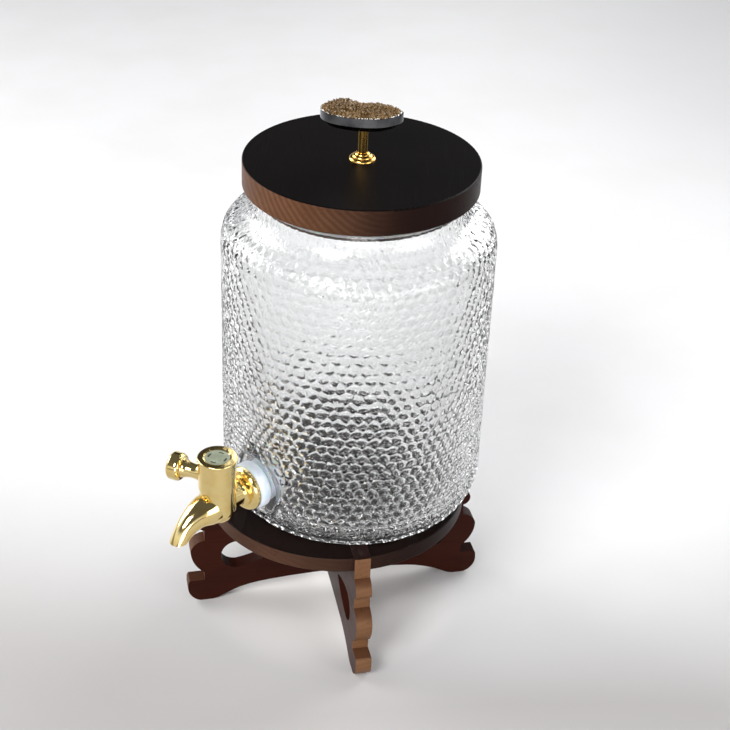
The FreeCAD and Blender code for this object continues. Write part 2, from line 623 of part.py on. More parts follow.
def make_tap_body():
    """One casting: threaded shank, flange, neck, valve body with its stop collar, and spout."""
    body = new_body("tap_body")
    shank_end = "flange_x - shank_length"
    dome_end = "flange_x + flange_rim + flange_dome"
    collar_end = dome_end + " + collar_length"
    level = new_sketch(body)
    draw_loop(level, [(shank_end, "0"),
                      ("0", "0"),
                      ("0", "tap_neck"),
                      (collar_end + " + neck_flare", "tap_neck", "-1.2 * neck_flare"),
                      (collar_end, "collar_radius"),
                      (dome_end, "collar_radius"),
                      (dome_end, "flange_crown", "1.6 * flange_dome"),
                      ("flange_x + flange_rim", "flange_radius"),
                      ("flange_x", "flange_radius"),
                      ("flange_x", "shank_radius"),
                      (shank_end + " + shank_chamfer", "shank_radius"),
                      (shank_end, "shank_radius - shank_chamfer")])
    revolve(body, level, "H_Axis")
    upright = new_sketch(body)
    draw_loop(upright, [("0", "-body_bottom"),
                        ("body_radius - body_round", "-body_bottom", "body_round"),
                        ("body_radius", "body_round - body_bottom"),
                        ("body_radius", "body_top"),
                        ("0", "body_top")])
    revolve(body, upright)
    loft(body, spout_outside(body))
    collar = new_sketch(body, "XY_Plane", z="body_top")
    draw_circle(collar, "stop_inner")
    draw_circle(collar, "stop_outer")
    extrude(body, collar, "stop_height")
    gap = new_sketch(body, "XY_Plane", z="body_top + stop_height",
                     turn="180 + (lever_open + lever_closed) / 2")
    half_base = "body_radius * tan(stop_gap / 2)"
    draw_loop(gap, [("0", "0"), ("body_radius", "-" + half_base), ("body_radius", half_base)])
    extrude(body, gap, "stop_height", cut=True)
    chamber = new_sketch(body)
    draw_loop(chamber, [("0", "-chamber_depth"),
                        ("chamber_radius", "-chamber_depth"),
                        ("chamber_radius", "ring_seat"),
                        ("ring_seat_radius", "ring_seat"),
                        ("ring_seat_radius", "body_top + stop_height"),
                        ("0", "body_top + stop_height")])
    revolve(body, chamber, cut=True)
    inlet = new_sketch(body)
    draw_box(inlet, shank_end + " - shank_chamfer", "0", "0", "inlet_radius")
    revolve(body, inlet, "H_Axis", cut=True)
    loft(body, spout_passage(body), cut=True)
    place_in_tap(body)


def make_outer_washer():
    """Soft washer between the flange and the flat on the glass."""
    body = new_body("tap_outer_washer")
    edge = "washer_thick / 2"
    sketch = new_sketch(body, z="0", x="boss_x")
    draw_loop(sketch, [("0", "washer_hole"),
                       ("washer_thick", "washer_hole"),
                       ("washer_thick", "washer_radius - " + edge, edge),
                       (edge, "washer_radius"),
                       ("0", "washer_radius")])
    revolve(body, sketch, "H_Axis")
    place_in_tap(body)


def make_inner_washer():
    """Soft washer inside the jar, its outer side shaped to the round wall."""
    body = new_body("tap_inner_washer")
    ring = new_sketch(body, "YZ_Plane", z="nut_x")
    draw_circle(ring, "inner_washer_radius")
    draw_circle(ring, "washer_hole")
    extrude(body, ring, "inner_washer_thick")
    wall = new_sketch(body, x="-barrel_reach")
    draw_box(wall, "jar_bore", "jar_radius + jar_wall", "-inner_washer_radius * 1.5", "inner_washer_radius * 1.5")
    revolve(body, wall, cut=True)
    place_in_tap(body)


def make_tap_nut():
    """Flanged hexagon nut on the shank, inside the jar."""
    body = new_body("tap_nut")
    flange = new_sketch(body, "YZ_Plane", z="nut_x")
    draw_circle(flange, "nut_flange_radius")
    extrude(body, flange, "nut_flange", backwards=True)
    hexagon = new_sketch(body, "YZ_Plane", z="nut_x - nut_flange")
    corners = [("nut_corner * cos(%d)" % angle, "nut_corner * sin(%d)" % angle) for angle in range(0, 360, 60)]
    draw_loop(hexagon, corners)
    extrude(body, hexagon, "nut_thick", backwards=True)
    bore = new_sketch(body, "YZ_Plane", z="nut_x")
    draw_circle(bore, "shank_radius + thread_clear")
    extrude(body, bore, "nut_flange + nut_thick", cut=True)
    place_in_tap(body)


def make_retaining_ring():
    """Threaded ring that keeps the plug in its chamber."""
    body = turned("plug_retaining_ring", [("stem_radius + stem_clear", "ring_seat"),
                                          ("ring_seat_radius - thread_clear", "ring_seat"),
                                          ("ring_seat_radius - thread_clear", "ring_seat + ring_thick"),
                                          ("stem_radius + stem_clear", "ring_seat + ring_thick")])
    place_in_tap(body)


# ---------------------------------------------------------------------------------------------
# Tap: what turns
# ---------------------------------------------------------------------------------------------
def place_on_lever(body):
    place_in_tap(body, "lever_azimuth")


def make_valve_plug():
    """Round plug with a bore across it, two O-ring grooves and a square drive on its stem."""
    groove_floor = "plug_radius - seal_section"
    half = "seal_section / 2"
    floor = "end_play - chamber_depth"
    body = turned("valve_plug", [("0", floor),
                                 ("plug_radius", floor),
                                 ("plug_radius", "-seal_height - " + half),
                                 (groove_floor, "-seal_height - " + half),
                                 (groove_floor, half + " - seal_height"),
                                 ("plug_radius", half + " - seal_height"),
                                 ("plug_radius", "seal_height - " + half),
                                 (groove_floor, "seal_height - " + half),
                                 (groove_floor, "seal_height + " + half),
                                 ("plug_radius", "seal_height + " + half),
                                 ("plug_radius", "ring_seat - end_play"),
                                 ("stem_radius", "ring_seat - end_play"),
                                 ("stem_radius", "stem_top"),
                                 ("0", "stem_top")])
    drive = new_sketch(body, "XY_Plane", z="stem_top")
    draw_box(drive, "-drive_width / 2", "drive_width / 2", "-drive_width / 2", "drive_width / 2")
    extrude(body, drive, "drive_top - stem_top")
    port = new_sketch(body, "YZ_Plane")
    draw_circle(port, "port_radius")
    extrude(body, port, "4 * plug_radius", cut=True, both_ways=True)
    pilot = new_sketch(body, "XY_Plane", z="drive_top")
    draw_circle(pilot, "screw_radius + thread_clear")
    extrude(body, pilot, "screw_reach + end_play", cut=True)
    place_on_lever(body)


def make_plug_o_rings():
    """Two rings, one above and one below the bore, in one group."""
    rings = []
    for name, side in (("upper", ""), ("lower", "-")):
        ring = doc.addObject("Part::Torus", "plug_o_ring_" + name)
        bind(ring, Radius1="plug_radius - seal_section / 2", Radius2="seal_section / 2")
        place(ring, "tap_x", "tap_y", "tap_z + %s(seal_height)" % side)
        rings.append(ring)
    group = doc.addObject("Part::Compound", "plug_o_rings")
    group.Label = "plug_o_rings"
    group.Links = rings


def make_tap_handle():
    """Barrel with a lip, a side lever that ends in a knob, and a hub on the plug's drive."""
    body = new_body("tap_handle")
    barrel = new_sketch(body)
    lip_foot = "handle_top - lip_height"
    draw_loop(barrel, [("0", "handle_foot"),
                       ("handle_radius", "handle_foot"),
                       ("handle_radius", lip_foot),
                       ("lip_radius", lip_foot + " + lip_radius - handle_radius"),
                       ("lip_radius", "handle_top - lip_round", "lip_round"),
                       ("lip_radius - lip_round", "handle_top"),
                       ("0", "handle_top")])
    revolve(body, barrel)
    lever = new_sketch(body, y="lever_height")
    knob_front = "knob_back + lever_knob_thick"
    draw_loop(lever, [("0", "0"),
                      (knob_front, "0", "4 * lever_knob_radius"),
                      (knob_front + " - 0.6", "lever_knob_radius - lever_knob_round", "lever_knob_round * 1.1"),
                      (knob_front + " - lever_knob_round", "lever_knob_radius"),
                      ("knob_back + lever_knob_round", "lever_knob_radius", "lever_knob_round * 1.1"),
                      ("knob_back", "lever_neck + 0.6", "-2.4"),
                      ("knob_back - 1.6", "lever_neck", "-12"),
                      ("lever_waist_reach", "lever_waist", "-14"),
                      ("lever_root_reach", "lever_root"),
                      ("0", "lever_root")])
    revolve(body, lever, "H_Axis")
    hollow = new_sketch(body)
    draw_loop(hollow, [("hub_radius", "handle_foot - 1"),
                       ("handle_cavity", "handle_foot - 1"),
                       ("handle_cavity", "handle_cavity_top"),
                       ("hub_radius", "handle_cavity_top")])
    revolve(body, hollow, cut=True)
    under = new_sketch(body, "XY_Plane", z="handle_foot")
    draw_circle(under, "handle_cavity")
    extrude(body, under, "stem_top + end_play - handle_foot", cut=True, backwards=True)
    lug = new_sketch(body, "XY_Plane", z="handle_foot")
    draw_box(lug, "-(handle_cavity + handle_radius) / 2", "-lug_inner", "-lug_width / 2", "lug_width / 2")
    extrude(body, lug, "lug_height")
    socket = new_sketch(body, "XY_Plane", z="stem_top")
    half = "drive_width / 2 + drive_clear"
    draw_box(socket, "-(" + half + ")", half, "-(" + half + ")", half)
    extrude(body, socket, "drive_top + end_play - stem_top", cut=True, backwards=True)
    recess = new_sketch(body)
    draw_loop(recess, [("0", "drive_top"),
                       ("screw_radius + bolt_clear", "drive_top"),
                       ("screw_radius + bolt_clear", "cap_floor - screw_head - end_play"),
                       ("screw_head_radius + cap_clear", "cap_floor - screw_head - end_play"),
                       ("screw_head_radius + cap_clear", "cap_floor"),
                       ("cap_radius + cap_clear", "cap_floor"),
                       ("cap_radius + cap_clear", "cap_floor + cap_thick"),
                       ("cap_radius + cap_bevel", "handle_top"),
                       ("0", "handle_top")])
    revolve(body, recess, cut=True)
    place_on_lever(body)


def make_handle_screw():
    """Pan-head screw through the handle into the plug."""
    seat = "cap_floor - screw_head - end_play"
    body = turned("handle_screw", [("0", "drive_top - screw_reach"),
                                   ("screw_radius", "drive_top - screw_reach"),
                                   ("screw_radius", seat),
                                   ("screw_head_radius", seat),
                                   ("screw_head_radius", seat + " + screw_head / 2", "screw_head"),
                                   ("screw_head_radius / 2", seat + " + screw_head"),
                                   ("0", seat + " + screw_head")])
    slot = new_sketch(body, "XY_Plane", z=seat + " + screw_head")
    draw_box(slot, "-screw_head_radius", "screw_head_radius", "-screw_slot / 2", "screw_slot / 2")
    extrude(body, slot, "screw_head / 2", cut=True)
    place_on_lever(body)


def make_handle_cap():
    """Insert that hides the screw, with plain arc slots round it."""
    body = turned("handle_cap", [("0", "cap_floor"),
                                 ("cap_radius", "cap_floor"),
                                 ("cap_radius", "cap_floor + cap_thick"),
                                 ("0", "cap_floor + cap_thick")])
    slot = new_sketch(body, "XY_Plane", z="cap_floor + cap_thick")
    outer = "(slot_radius + slot_width / 2)"
    inner = "(slot_radius - slot_width / 2)"
    draw_loop(slot, [(outer + " * cos(slot_half_angle)", "-" + outer + " * sin(slot_half_angle)", outer),
                     (outer + " * cos(slot_half_angle)", outer + " * sin(slot_half_angle)"),
                     (inner + " * cos(slot_half_angle)", inner + " * sin(slot_half_angle)", "-" + inner),
                     (inner + " * cos(slot_half_angle)", "-" + inner + " * sin(slot_half_angle)")])
    cut = extrude(body, slot, "slot_depth", cut=True)
    repeat_round(body, cut, SLOTS_IN_CAP, adds=False)
    place_on_lever(body)


def make_tap():
    make_tap_body()
    make_outer_washer()
    make_inner_washer()
    make_tap_nut()
    make_retaining_ring()
    make_valve_plug()
    make_plug_o_rings()
    make_tap_handle()
    make_handle_screw()
    make_handle_cap()


# ---------------------------------------------------------------------------------------------
# Lid and knob
# ---------------------------------------------------------------------------------------------
def place_on_lid(item, height="0", turn="0"):
    place(item, "jar_x", "jar_y", "mouth_plane + " + height, turn)


def make_lid_board():
    body = turned("lid_board", [("bolt_hole", "0"),
                                ("lid_radius - lid_round", "0", "lid_round"),
                                ("lid_radius", "lid_round"),
                                ("lid_radius", "lid_thick - lid_round", "lid_round"),
                                ("lid_radius - lid_round", "lid_thick"),
                                ("bolt_hole", "lid_thick")])
    place_on_lid(body)


def make_lid_plug():
    """Locating disc under the lid, grooved for the seal and recessed for the bolt's head."""
    recess_floor = "bolt_recess_depth - plug_depth"
    body = turned("lid_plug", [("bolt_hole", recess_floor),
                               ("bolt_recess_radius", recess_floor),
                               ("bolt_recess_radius", "-plug_depth"),
                               ("lid_plug_radius - plug_round", "-plug_depth", "plug_round"),
                               ("lid_plug_radius", "plug_round - plug_depth"),
                               ("lid_plug_radius", "-groove_top - groove_height"),
                               ("groove_radius", "-groove_top - groove_height"),
                               ("groove_radius", "-groove_top"),
                               ("lid_plug_radius", "-groove_top"),
                               ("lid_plug_radius", "0"),
                               ("bolt_hole", "0")])
    place_on_lid(body)


def make_lid_seal():
    """Soft ring in the groove, with two lips that reach towards the mouth."""
    lip = "mouth_radius - seal_gap"
    low = "-groove_top - groove_height"
    body = turned("lid_seal", [("groove_radius", low),
                               ("lid_plug_radius", low),
                               (lip, low + " + lip_thick / 2"),
                               (lip, low + " + lip_thick"),
                               ("lid_plug_radius", low + " + 1.5 * lip_thick"),
                               ("lid_plug_radius", "-groove_top - 1.5 * lip_thick"),
                               (lip, "-groove_top - lip_thick"),
                               (lip, "-groove_top - lip_thick / 2"),
                               ("lid_plug_radius", "-groove_top"),
                               ("groove_radius", "-groove_top")])
    place_on_lid(body)


def make_knob_base():
    """Turned rose of three rounded steps."""
    body = turned("knob_base", [("bolt_hole", "0"),
                                ("rose_radius", "0", "rose_height * 0.45"),
                                ("rose_radius * 0.80", "rose_height * 0.38"),
                                ("rose_radius * 0.76", "rose_height * 0.38", "rose_height * 0.45"),
                                ("rose_radius * 0.60", "rose_height * 0.72"),
                                ("rose_radius * 0.56", "rose_height * 0.72", "rose_height * 0.45"),
                                ("rose_radius * 0.42", "rose_height"),
                                ("bolt_hole", "rose_height")])
    place_on_lid(body, "lid_thick")


def make_knob_stem():
    """Turned post with a plate under the stone and a threaded hole up its middle."""
    plate_foot = "stone_height - knob_plate_thick"
    thread = "bolt_radius + thread_clear"
    thread_top = "rose_height + bolt_grip + end_play"
    body = turned("knob_stem", [(thread, "rose_height"),
                                ("knob_stem_radius", "rose_height"),
                                ("knob_stem_radius", plate_foot + " - knob_plate_thick", "-knob_plate_thick"),
                                ("knob_stem_radius + knob_plate_thick", plate_foot),
                                ("knob_plate_radius", plate_foot),
                                ("knob_plate_radius", "stone_height"),
                                ("0", "stone_height"),
                                ("0", thread_top),
                                (thread, thread_top)])
    place_on_lid(body, "lid_thick")


def closed_curve(points):
    curve = Part.BSplineCurve()
    curve.interpolate(points, True)
    return curve


def stone_curve(share, height):
    middle = value("stone_offset")
    half_width = value("stone_width") / 2 * share
    half_depth = value("stone_depth") / 2 * share
    return closed_curve([FreeCAD.Vector(middle + x * half_width, y * half_depth, height)
                         for x, y in STONE_OUTLINE])


def curve_outside(curve, distance):
    """Give the curve that runs at a distance round the outside of a closed flat curve."""
    points = []
    for number in range(CURVE_STEPS):
        at = curve.FirstParameter + (curve.LastParameter - curve.FirstParameter) * number / CURVE_STEPS
        along = curve.tangent(at)[0]
        points.append(curve.value(at) + FreeCAD.Vector(along.y, -along.x, 0) * distance)
    return closed_curve(points)


def wire_of(curve):
    return Part.Wire([piece.toShape() for piece in curve.toBezier()])


def joined(low, high):
    return Part.makeLoft([wire_of(low), wire_of(high)], True, True)


def make_stone_pieces():
    """Natural slice with a bevelled foot and a low crystal crown, and the plated band round it."""
    bevel = value("stone_bevel")
    thick = value("stone_thick")
    plating = value("band_thick")
    foot = stone_curve(value("bevel_share"), 0)
    shoulder = stone_curve(1, bevel)
    edge = stone_curve(1, thick)
    crown = stone_curve(value("crown_share"), thick + value("stone_crown"))
    slab = joined(foot, shoulder).fuse(joined(shoulder, edge))
    outside = [curve_outside(curve, plating) for curve in (foot, shoulder, edge)]
    skin = joined(outside[0], outside[1]).fuse(joined(outside[1], outside[2]))
    for label, shape in (("knob_stone", slab.fuse(joined(edge, crown))), ("knob_band", skin.cut(slab))):
        item = doc.addObject("Part::Feature", label)
        item.Label = label
        item.Shape = shape.Solids[0]
        place_on_lid(item, "lid_thick + stone_height", "stone_angle")


def make_knob_bolt():
    """Bolt from under the lid up into the stem."""
    seat = "bolt_recess_depth - plug_depth - lid_washer_thick"
    body = turned("knob_bolt", [("0", seat + " - bolt_head"),
                                ("bolt_head_radius", seat + " - bolt_head"),
                                ("bolt_head_radius", seat),
                                ("bolt_radius", seat),
                                ("bolt_radius", "lid_thick + rose_height + bolt_grip"),
                                ("0", "lid_thick + rose_height + bolt_grip")])
    slot = new_sketch(body, "XY_Plane", z=seat + " - bolt_head")
    draw_box(slot, "-bolt_head_radius", "bolt_head_radius", "-screw_slot / 2", "screw_slot / 2")
    extrude(body, slot, "bolt_head / 2", cut=True, backwards=True)
    place_on_lid(body)


def make_lid_washer():
    seat = "bolt_recess_depth - plug_depth"
    body = turned("lid_washer", [("bolt_hole", seat + " - lid_washer_thick"),
                                 ("lid_washer_radius", seat + " - lid_washer_thick"),
                                 ("lid_washer_radius", seat),
                                 ("bolt_hole", seat)])
    place_on_lid(body)


def make_lid():
    make_lid_board()
    make_lid_plug()
    make_lid_seal()
    make_knob_base()
    make_knob_stem()
    make_stone_pieces()
    make_knob_bolt()
    make_lid_washer()


# ---------------------------------------------------------------------------------------------
# Build, check and write
# ---------------------------------------------------------------------------------------------
NODES = ["stand_plate", "leg_board_lower", "leg_board_upper",
         "glass_jar", "tap_body", "tap_outer_washer", "tap_inner_washer", "tap_nut", "plug_retaining_ring",
         "valve_plug", "plug_o_rings", "tap_handle", "handle_screw", "handle_cap",
         "lid_board", "lid_plug", "lid_seal", "lid_washer",
         "knob_base", "knob_stem", "knob_bolt", "knob_stone", "knob_band"]


def write_parts():
    doc.recompute()
    for item in doc.Objects:
        if "Invalid" in item.State or "Error" in item.State:
            raise ValueError("%s failed: %s" % (item.Name, item.State))
    pieces = [doc.getObject(name) for name in NODES]
    for piece in pieces:
        if piece.Shape.isNull() or not piece.Shape.isValid():
            raise ValueError("%s has no valid shape" % piece.Label)
    os.makedirs("parts", exist_ok=True)
    for piece in pieces:
        piece.Shape.exportStep("parts/%s.step" % piece.Label)
        print(piece.Label, len(piece.Shape.Solids), round(piece.Shape.Volume, 1))


make_stand()
make_glass_jar()
make_tap()
make_lid()
write_parts()
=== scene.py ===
import logging
import math
from dataclasses import dataclass
from enum import Enum
from typing import List, Mapping, Sequence, Tuple, Union

import bpy
import numpy as np
from mathutils import Matrix, Vector, noise


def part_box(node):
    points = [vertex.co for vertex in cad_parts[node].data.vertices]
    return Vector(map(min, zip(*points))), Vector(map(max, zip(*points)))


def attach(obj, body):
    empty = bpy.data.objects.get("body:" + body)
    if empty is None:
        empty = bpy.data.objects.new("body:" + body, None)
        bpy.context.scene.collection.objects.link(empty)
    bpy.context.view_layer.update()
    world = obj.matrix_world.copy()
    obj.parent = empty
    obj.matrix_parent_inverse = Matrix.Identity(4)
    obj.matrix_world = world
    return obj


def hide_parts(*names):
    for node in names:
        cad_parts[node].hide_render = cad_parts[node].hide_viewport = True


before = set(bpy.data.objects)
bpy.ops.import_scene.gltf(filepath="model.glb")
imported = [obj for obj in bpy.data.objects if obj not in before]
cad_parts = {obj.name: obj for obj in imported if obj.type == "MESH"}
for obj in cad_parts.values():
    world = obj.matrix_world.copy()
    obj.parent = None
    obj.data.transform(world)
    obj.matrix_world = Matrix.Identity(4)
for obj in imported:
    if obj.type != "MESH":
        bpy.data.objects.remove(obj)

LOG = logging.getLogger("drink_dispenser")
Colour = Tuple[float, float, float]
Place = Tuple[float, float, float]
Point = Tuple[float, float]
Piece = bpy.types.Object
MM = 0.001
JAR_AXIS: Point = (8.5 * MM, -5.0 * MM)


# --- Shader expressions ------------------------------------------
class Shade:
    """A socket in a recipe, with Python's operators as maths nodes."""

    def __init__(self, recipe: "Recipe", socket: bpy.types.NodeSocket) -> None:
        """Keep the recipe and the socket."""
        self.recipe = recipe
        self.socket = socket

    def _join(self, operation: str, left: "Value", right: "Value") -> "Shade":
        """Combine two values.

        Args:
            operation: Name of the Math or Vector Math operation.
            left: First value.
            right: Second value.

        Returns:
            The result's socket.
        """
        vectors = [isinstance(v, tuple) or isinstance(v, Shade) and v.socket.type in ("VECTOR", "RGBA")
                   for v in (left, right)]
        kind = "ShaderNodeVectorMath" if any(vectors) else "ShaderNodeMath"
        return self.recipe.node(kind, {"operation": operation}, {0: left, 1: right})

    def __add__(self, other: "Value") -> "Shade":
        """Give self + other."""
        return self._join("ADD", self, other)

    __radd__ = __add__

    def __sub__(self, other: "Value") -> "Shade":
        """Give self - other."""
        return self._join("SUBTRACT", self, other)

    def __rsub__(self, other: "Value") -> "Shade":
        """Give other - self."""
        return self._join("SUBTRACT", other, self)

    def __mul__(self, other: "Value") -> "Shade":
        """Give self * other."""
        return self._join("MULTIPLY", self, other)

    __rmul__ = __mul__

    def __pow__(self, other: "Value") -> "Shade":
        """Give self ** other."""
        return self._join("POWER", self, other)

    def __abs__(self) -> "Shade":
        """Give the absolute value."""
        return self._join("ABSOLUTE", self, 0.0)

    def length(self) -> "Shade":
        """Give a vector's length."""
        return self.recipe.node("ShaderNodeVectorMath", {"operation": "LENGTH"}, {0: self}, 1)

    def dot(self, other: "Value") -> "Shade":
        """Give the dot product with another vector."""
        return self.recipe.node("ShaderNodeVectorMath", {"operation": "DOT_PRODUCT"}, {0: self, 1: other}, 1)

    def sine(self) -> "Shade":
        """Give the sine of an angle in radians."""
        return self._join("SINE", self, 0.0)

    def clamp(self) -> "Shade":
        """Keep the value between 0 and 1."""
        return self.recipe.node("ShaderNodeClamp", {}, {0: self})

    def step(self, low: float, high: float) -> "Shade":
        """Rise smoothly from 0 at low to 1 at high.

        Args:
            low: Value that gives 0.
            high: Value that gives 1.

        Returns:
            The smooth step.
        """
        settings = {"interpolation_type": "SMOOTHSTEP"}
        return self.recipe.node("ShaderNodeMapRange", settings, {0: self, 1: low, 2: high, 3: 0.0, 4: 1.0})

    def part(self, axis: int) -> "Shade":
        """Give one component of a vector."""
        return self.recipe.node("ShaderNodeSeparateXYZ", {}, {0: self}, axis)


Value = Union[float, Tuple[float, ...], Shade]


@dataclass(frozen=True)
class Cloud:
    """Cloudy noise: lumps per metre, octaves, strength of the fine ones, squeeze along each axis."""

    scale: float
    detail: float = 3.0
    roughness: float = 0.5
    squeeze: Place = (1.0, 1.0, 1.0)


class Recipe:
    """A material's or world's node tree, built up by expressions."""

    def __init__(self, owner: Union[bpy.types.Material, bpy.types.World]) -> None:
        """Empty the owner's node tree.

        Args:
            owner: The material or world to work on.
        """
        owner.use_nodes = True
        self.tree = owner.node_tree
        self.tree.nodes.clear()

    def node(self, kind: str, settings: Mapping[str, object], sockets: Mapping[Union[int, str], Value],
             out: Union[int, str] = 0) -> Shade:
        """Add a node, set it up and link it.

        Args:
            kind: The node's type.
            settings: Its properties; "ramp" holds a colour ramp's stops.
            sockets: Values or links by socket number or name.
            out: The output that is wanted.

        Returns:
            That output's socket.
        """
        made = self.tree.nodes.new(kind)
        for name, setting in settings.items():
            if name == "ramp":
                self._set_ramp(made.color_ramp, setting)
            else:
                setattr(made, name, setting)
        for key, value in sockets.items():
            socket = made.inputs[key]
            if isinstance(value, Shade):
                self.tree.links.new(value.socket, socket)
            elif socket.type == "RGBA" and isinstance(value, tuple) and len(value) == 3:
                socket.default_value = (*value, 1.0)
            else:
                socket.default_value = value
        return Shade(self, made.outputs[out])

    @staticmethod
    def _set_ramp(ramp: bpy.types.ColorRamp, stops: Sequence[Tuple[float, Colour]]) -> None:
        """Give a colour ramp its stops.

        Args:
            ramp: The ramp.
            stops: Places and colours, lowest first.
        """
        while len(ramp.elements) > 1:
            ramp.elements.remove(ramp.elements[-1])
        ramp.elements[0].position = stops[0][0]
        ramp.elements[0].color = (*stops[0][1], 1.0)
        for place, colour in stops[1:]:
            ramp.elements.new(place).color = (*colour, 1.0)

    def place(self) -> Shade:
        """Give the point in the row frame, in metres."""
        return self.node("ShaderNodeTexCoord", {}, {}, "Object")

    def facing(self) -> Shade:
        """Give the surface's own normal."""
        return self.node("ShaderNodeTexCoord", {}, {}, "Normal")

    def mark(self, name: str) -> Shade:
        """Give the number that the piece keeps for each vertex under this name."""
        return self.node("ShaderNodeAttribute", {"attribute_name": name}, {}, 2)

    def noise(self, where: Shade, cloud: Cloud) -> Shade:
        """Give cloudy noise.

        Args:
            where: Coordinates.
            cloud: The kind of noise.

        Returns:
            Values round 0.5.
        """
        if cloud.squeeze != (1.0, 1.0, 1.0):
            where = where * cloud.squeeze
        return self.node("ShaderNodeTexNoise", {}, {"Vector": where, "Scale": cloud.scale,
                                                    "Detail": cloud.detail, "Roughness": cloud.roughness})

    def mix(self, share: Value, low: Value, high: Value) -> Shade:
        """Mix two colours.

        Args:
            share: 0 for low, 1 for high.
            low: First colour.
            high: Second colour.

        Returns:
            The mixed colour.
        """
        return self.node("ShaderNodeMix", {"data_type": "RGBA"}, {0: share, 6: low, 7: high}, 2)

    def bump(self, height: Shade, strength: float, distance: float) -> Shade:
        """Turn a height into a normal.

        Args:
            height: Heights from 0 to 1.
            strength: How much of it shows.
            distance: Metres for a height of 1.

        Returns:
            The normal.
        """
        return self.node("ShaderNodeBump", {}, {"Height": height, "Strength": strength, "Distance": distance})

    def surface(self, sockets: Mapping[str, Value]) -> None:
        """Finish with a Principled surface.

        Args:
            sockets: Values or links by name.
        """
        self.finish(self.node("ShaderNodeBsdfPrincipled", {}, sockets), "ShaderNodeOutputMaterial")

    def finish(self, shader: Shade, kind: str) -> None:
        """Link a shader to an output of this kind."""
        out = self.tree.nodes.new(kind)
        self.tree.links.new(shader.socket, out.inputs[0])


# --- Finishes ----------------------------------------------------
class Axis(Enum):
    """A direction of the row frame."""

    X = (1.0, 0.0, 0.0)
    Y = (0.0, 1.0, 0.0)
    Z = (0.0, 0.0, 1.0)


@dataclass(frozen=True)
class Finish:
    """What every finish has: a name, and the material made from it."""

    name: str

    def material(self) -> bpy.types.Material:
        """Give the finish's material, made once."""
        label = "finish_" + self.name
        known = bpy.data.materials.get(label)
        if known is None:
            known = bpy.data.materials.new(label)
            self.build(Recipe(known))
        return known

    def build(self, recipe: Recipe) -> None:
        """Fill in the material's nodes."""
        raise NotImplementedError


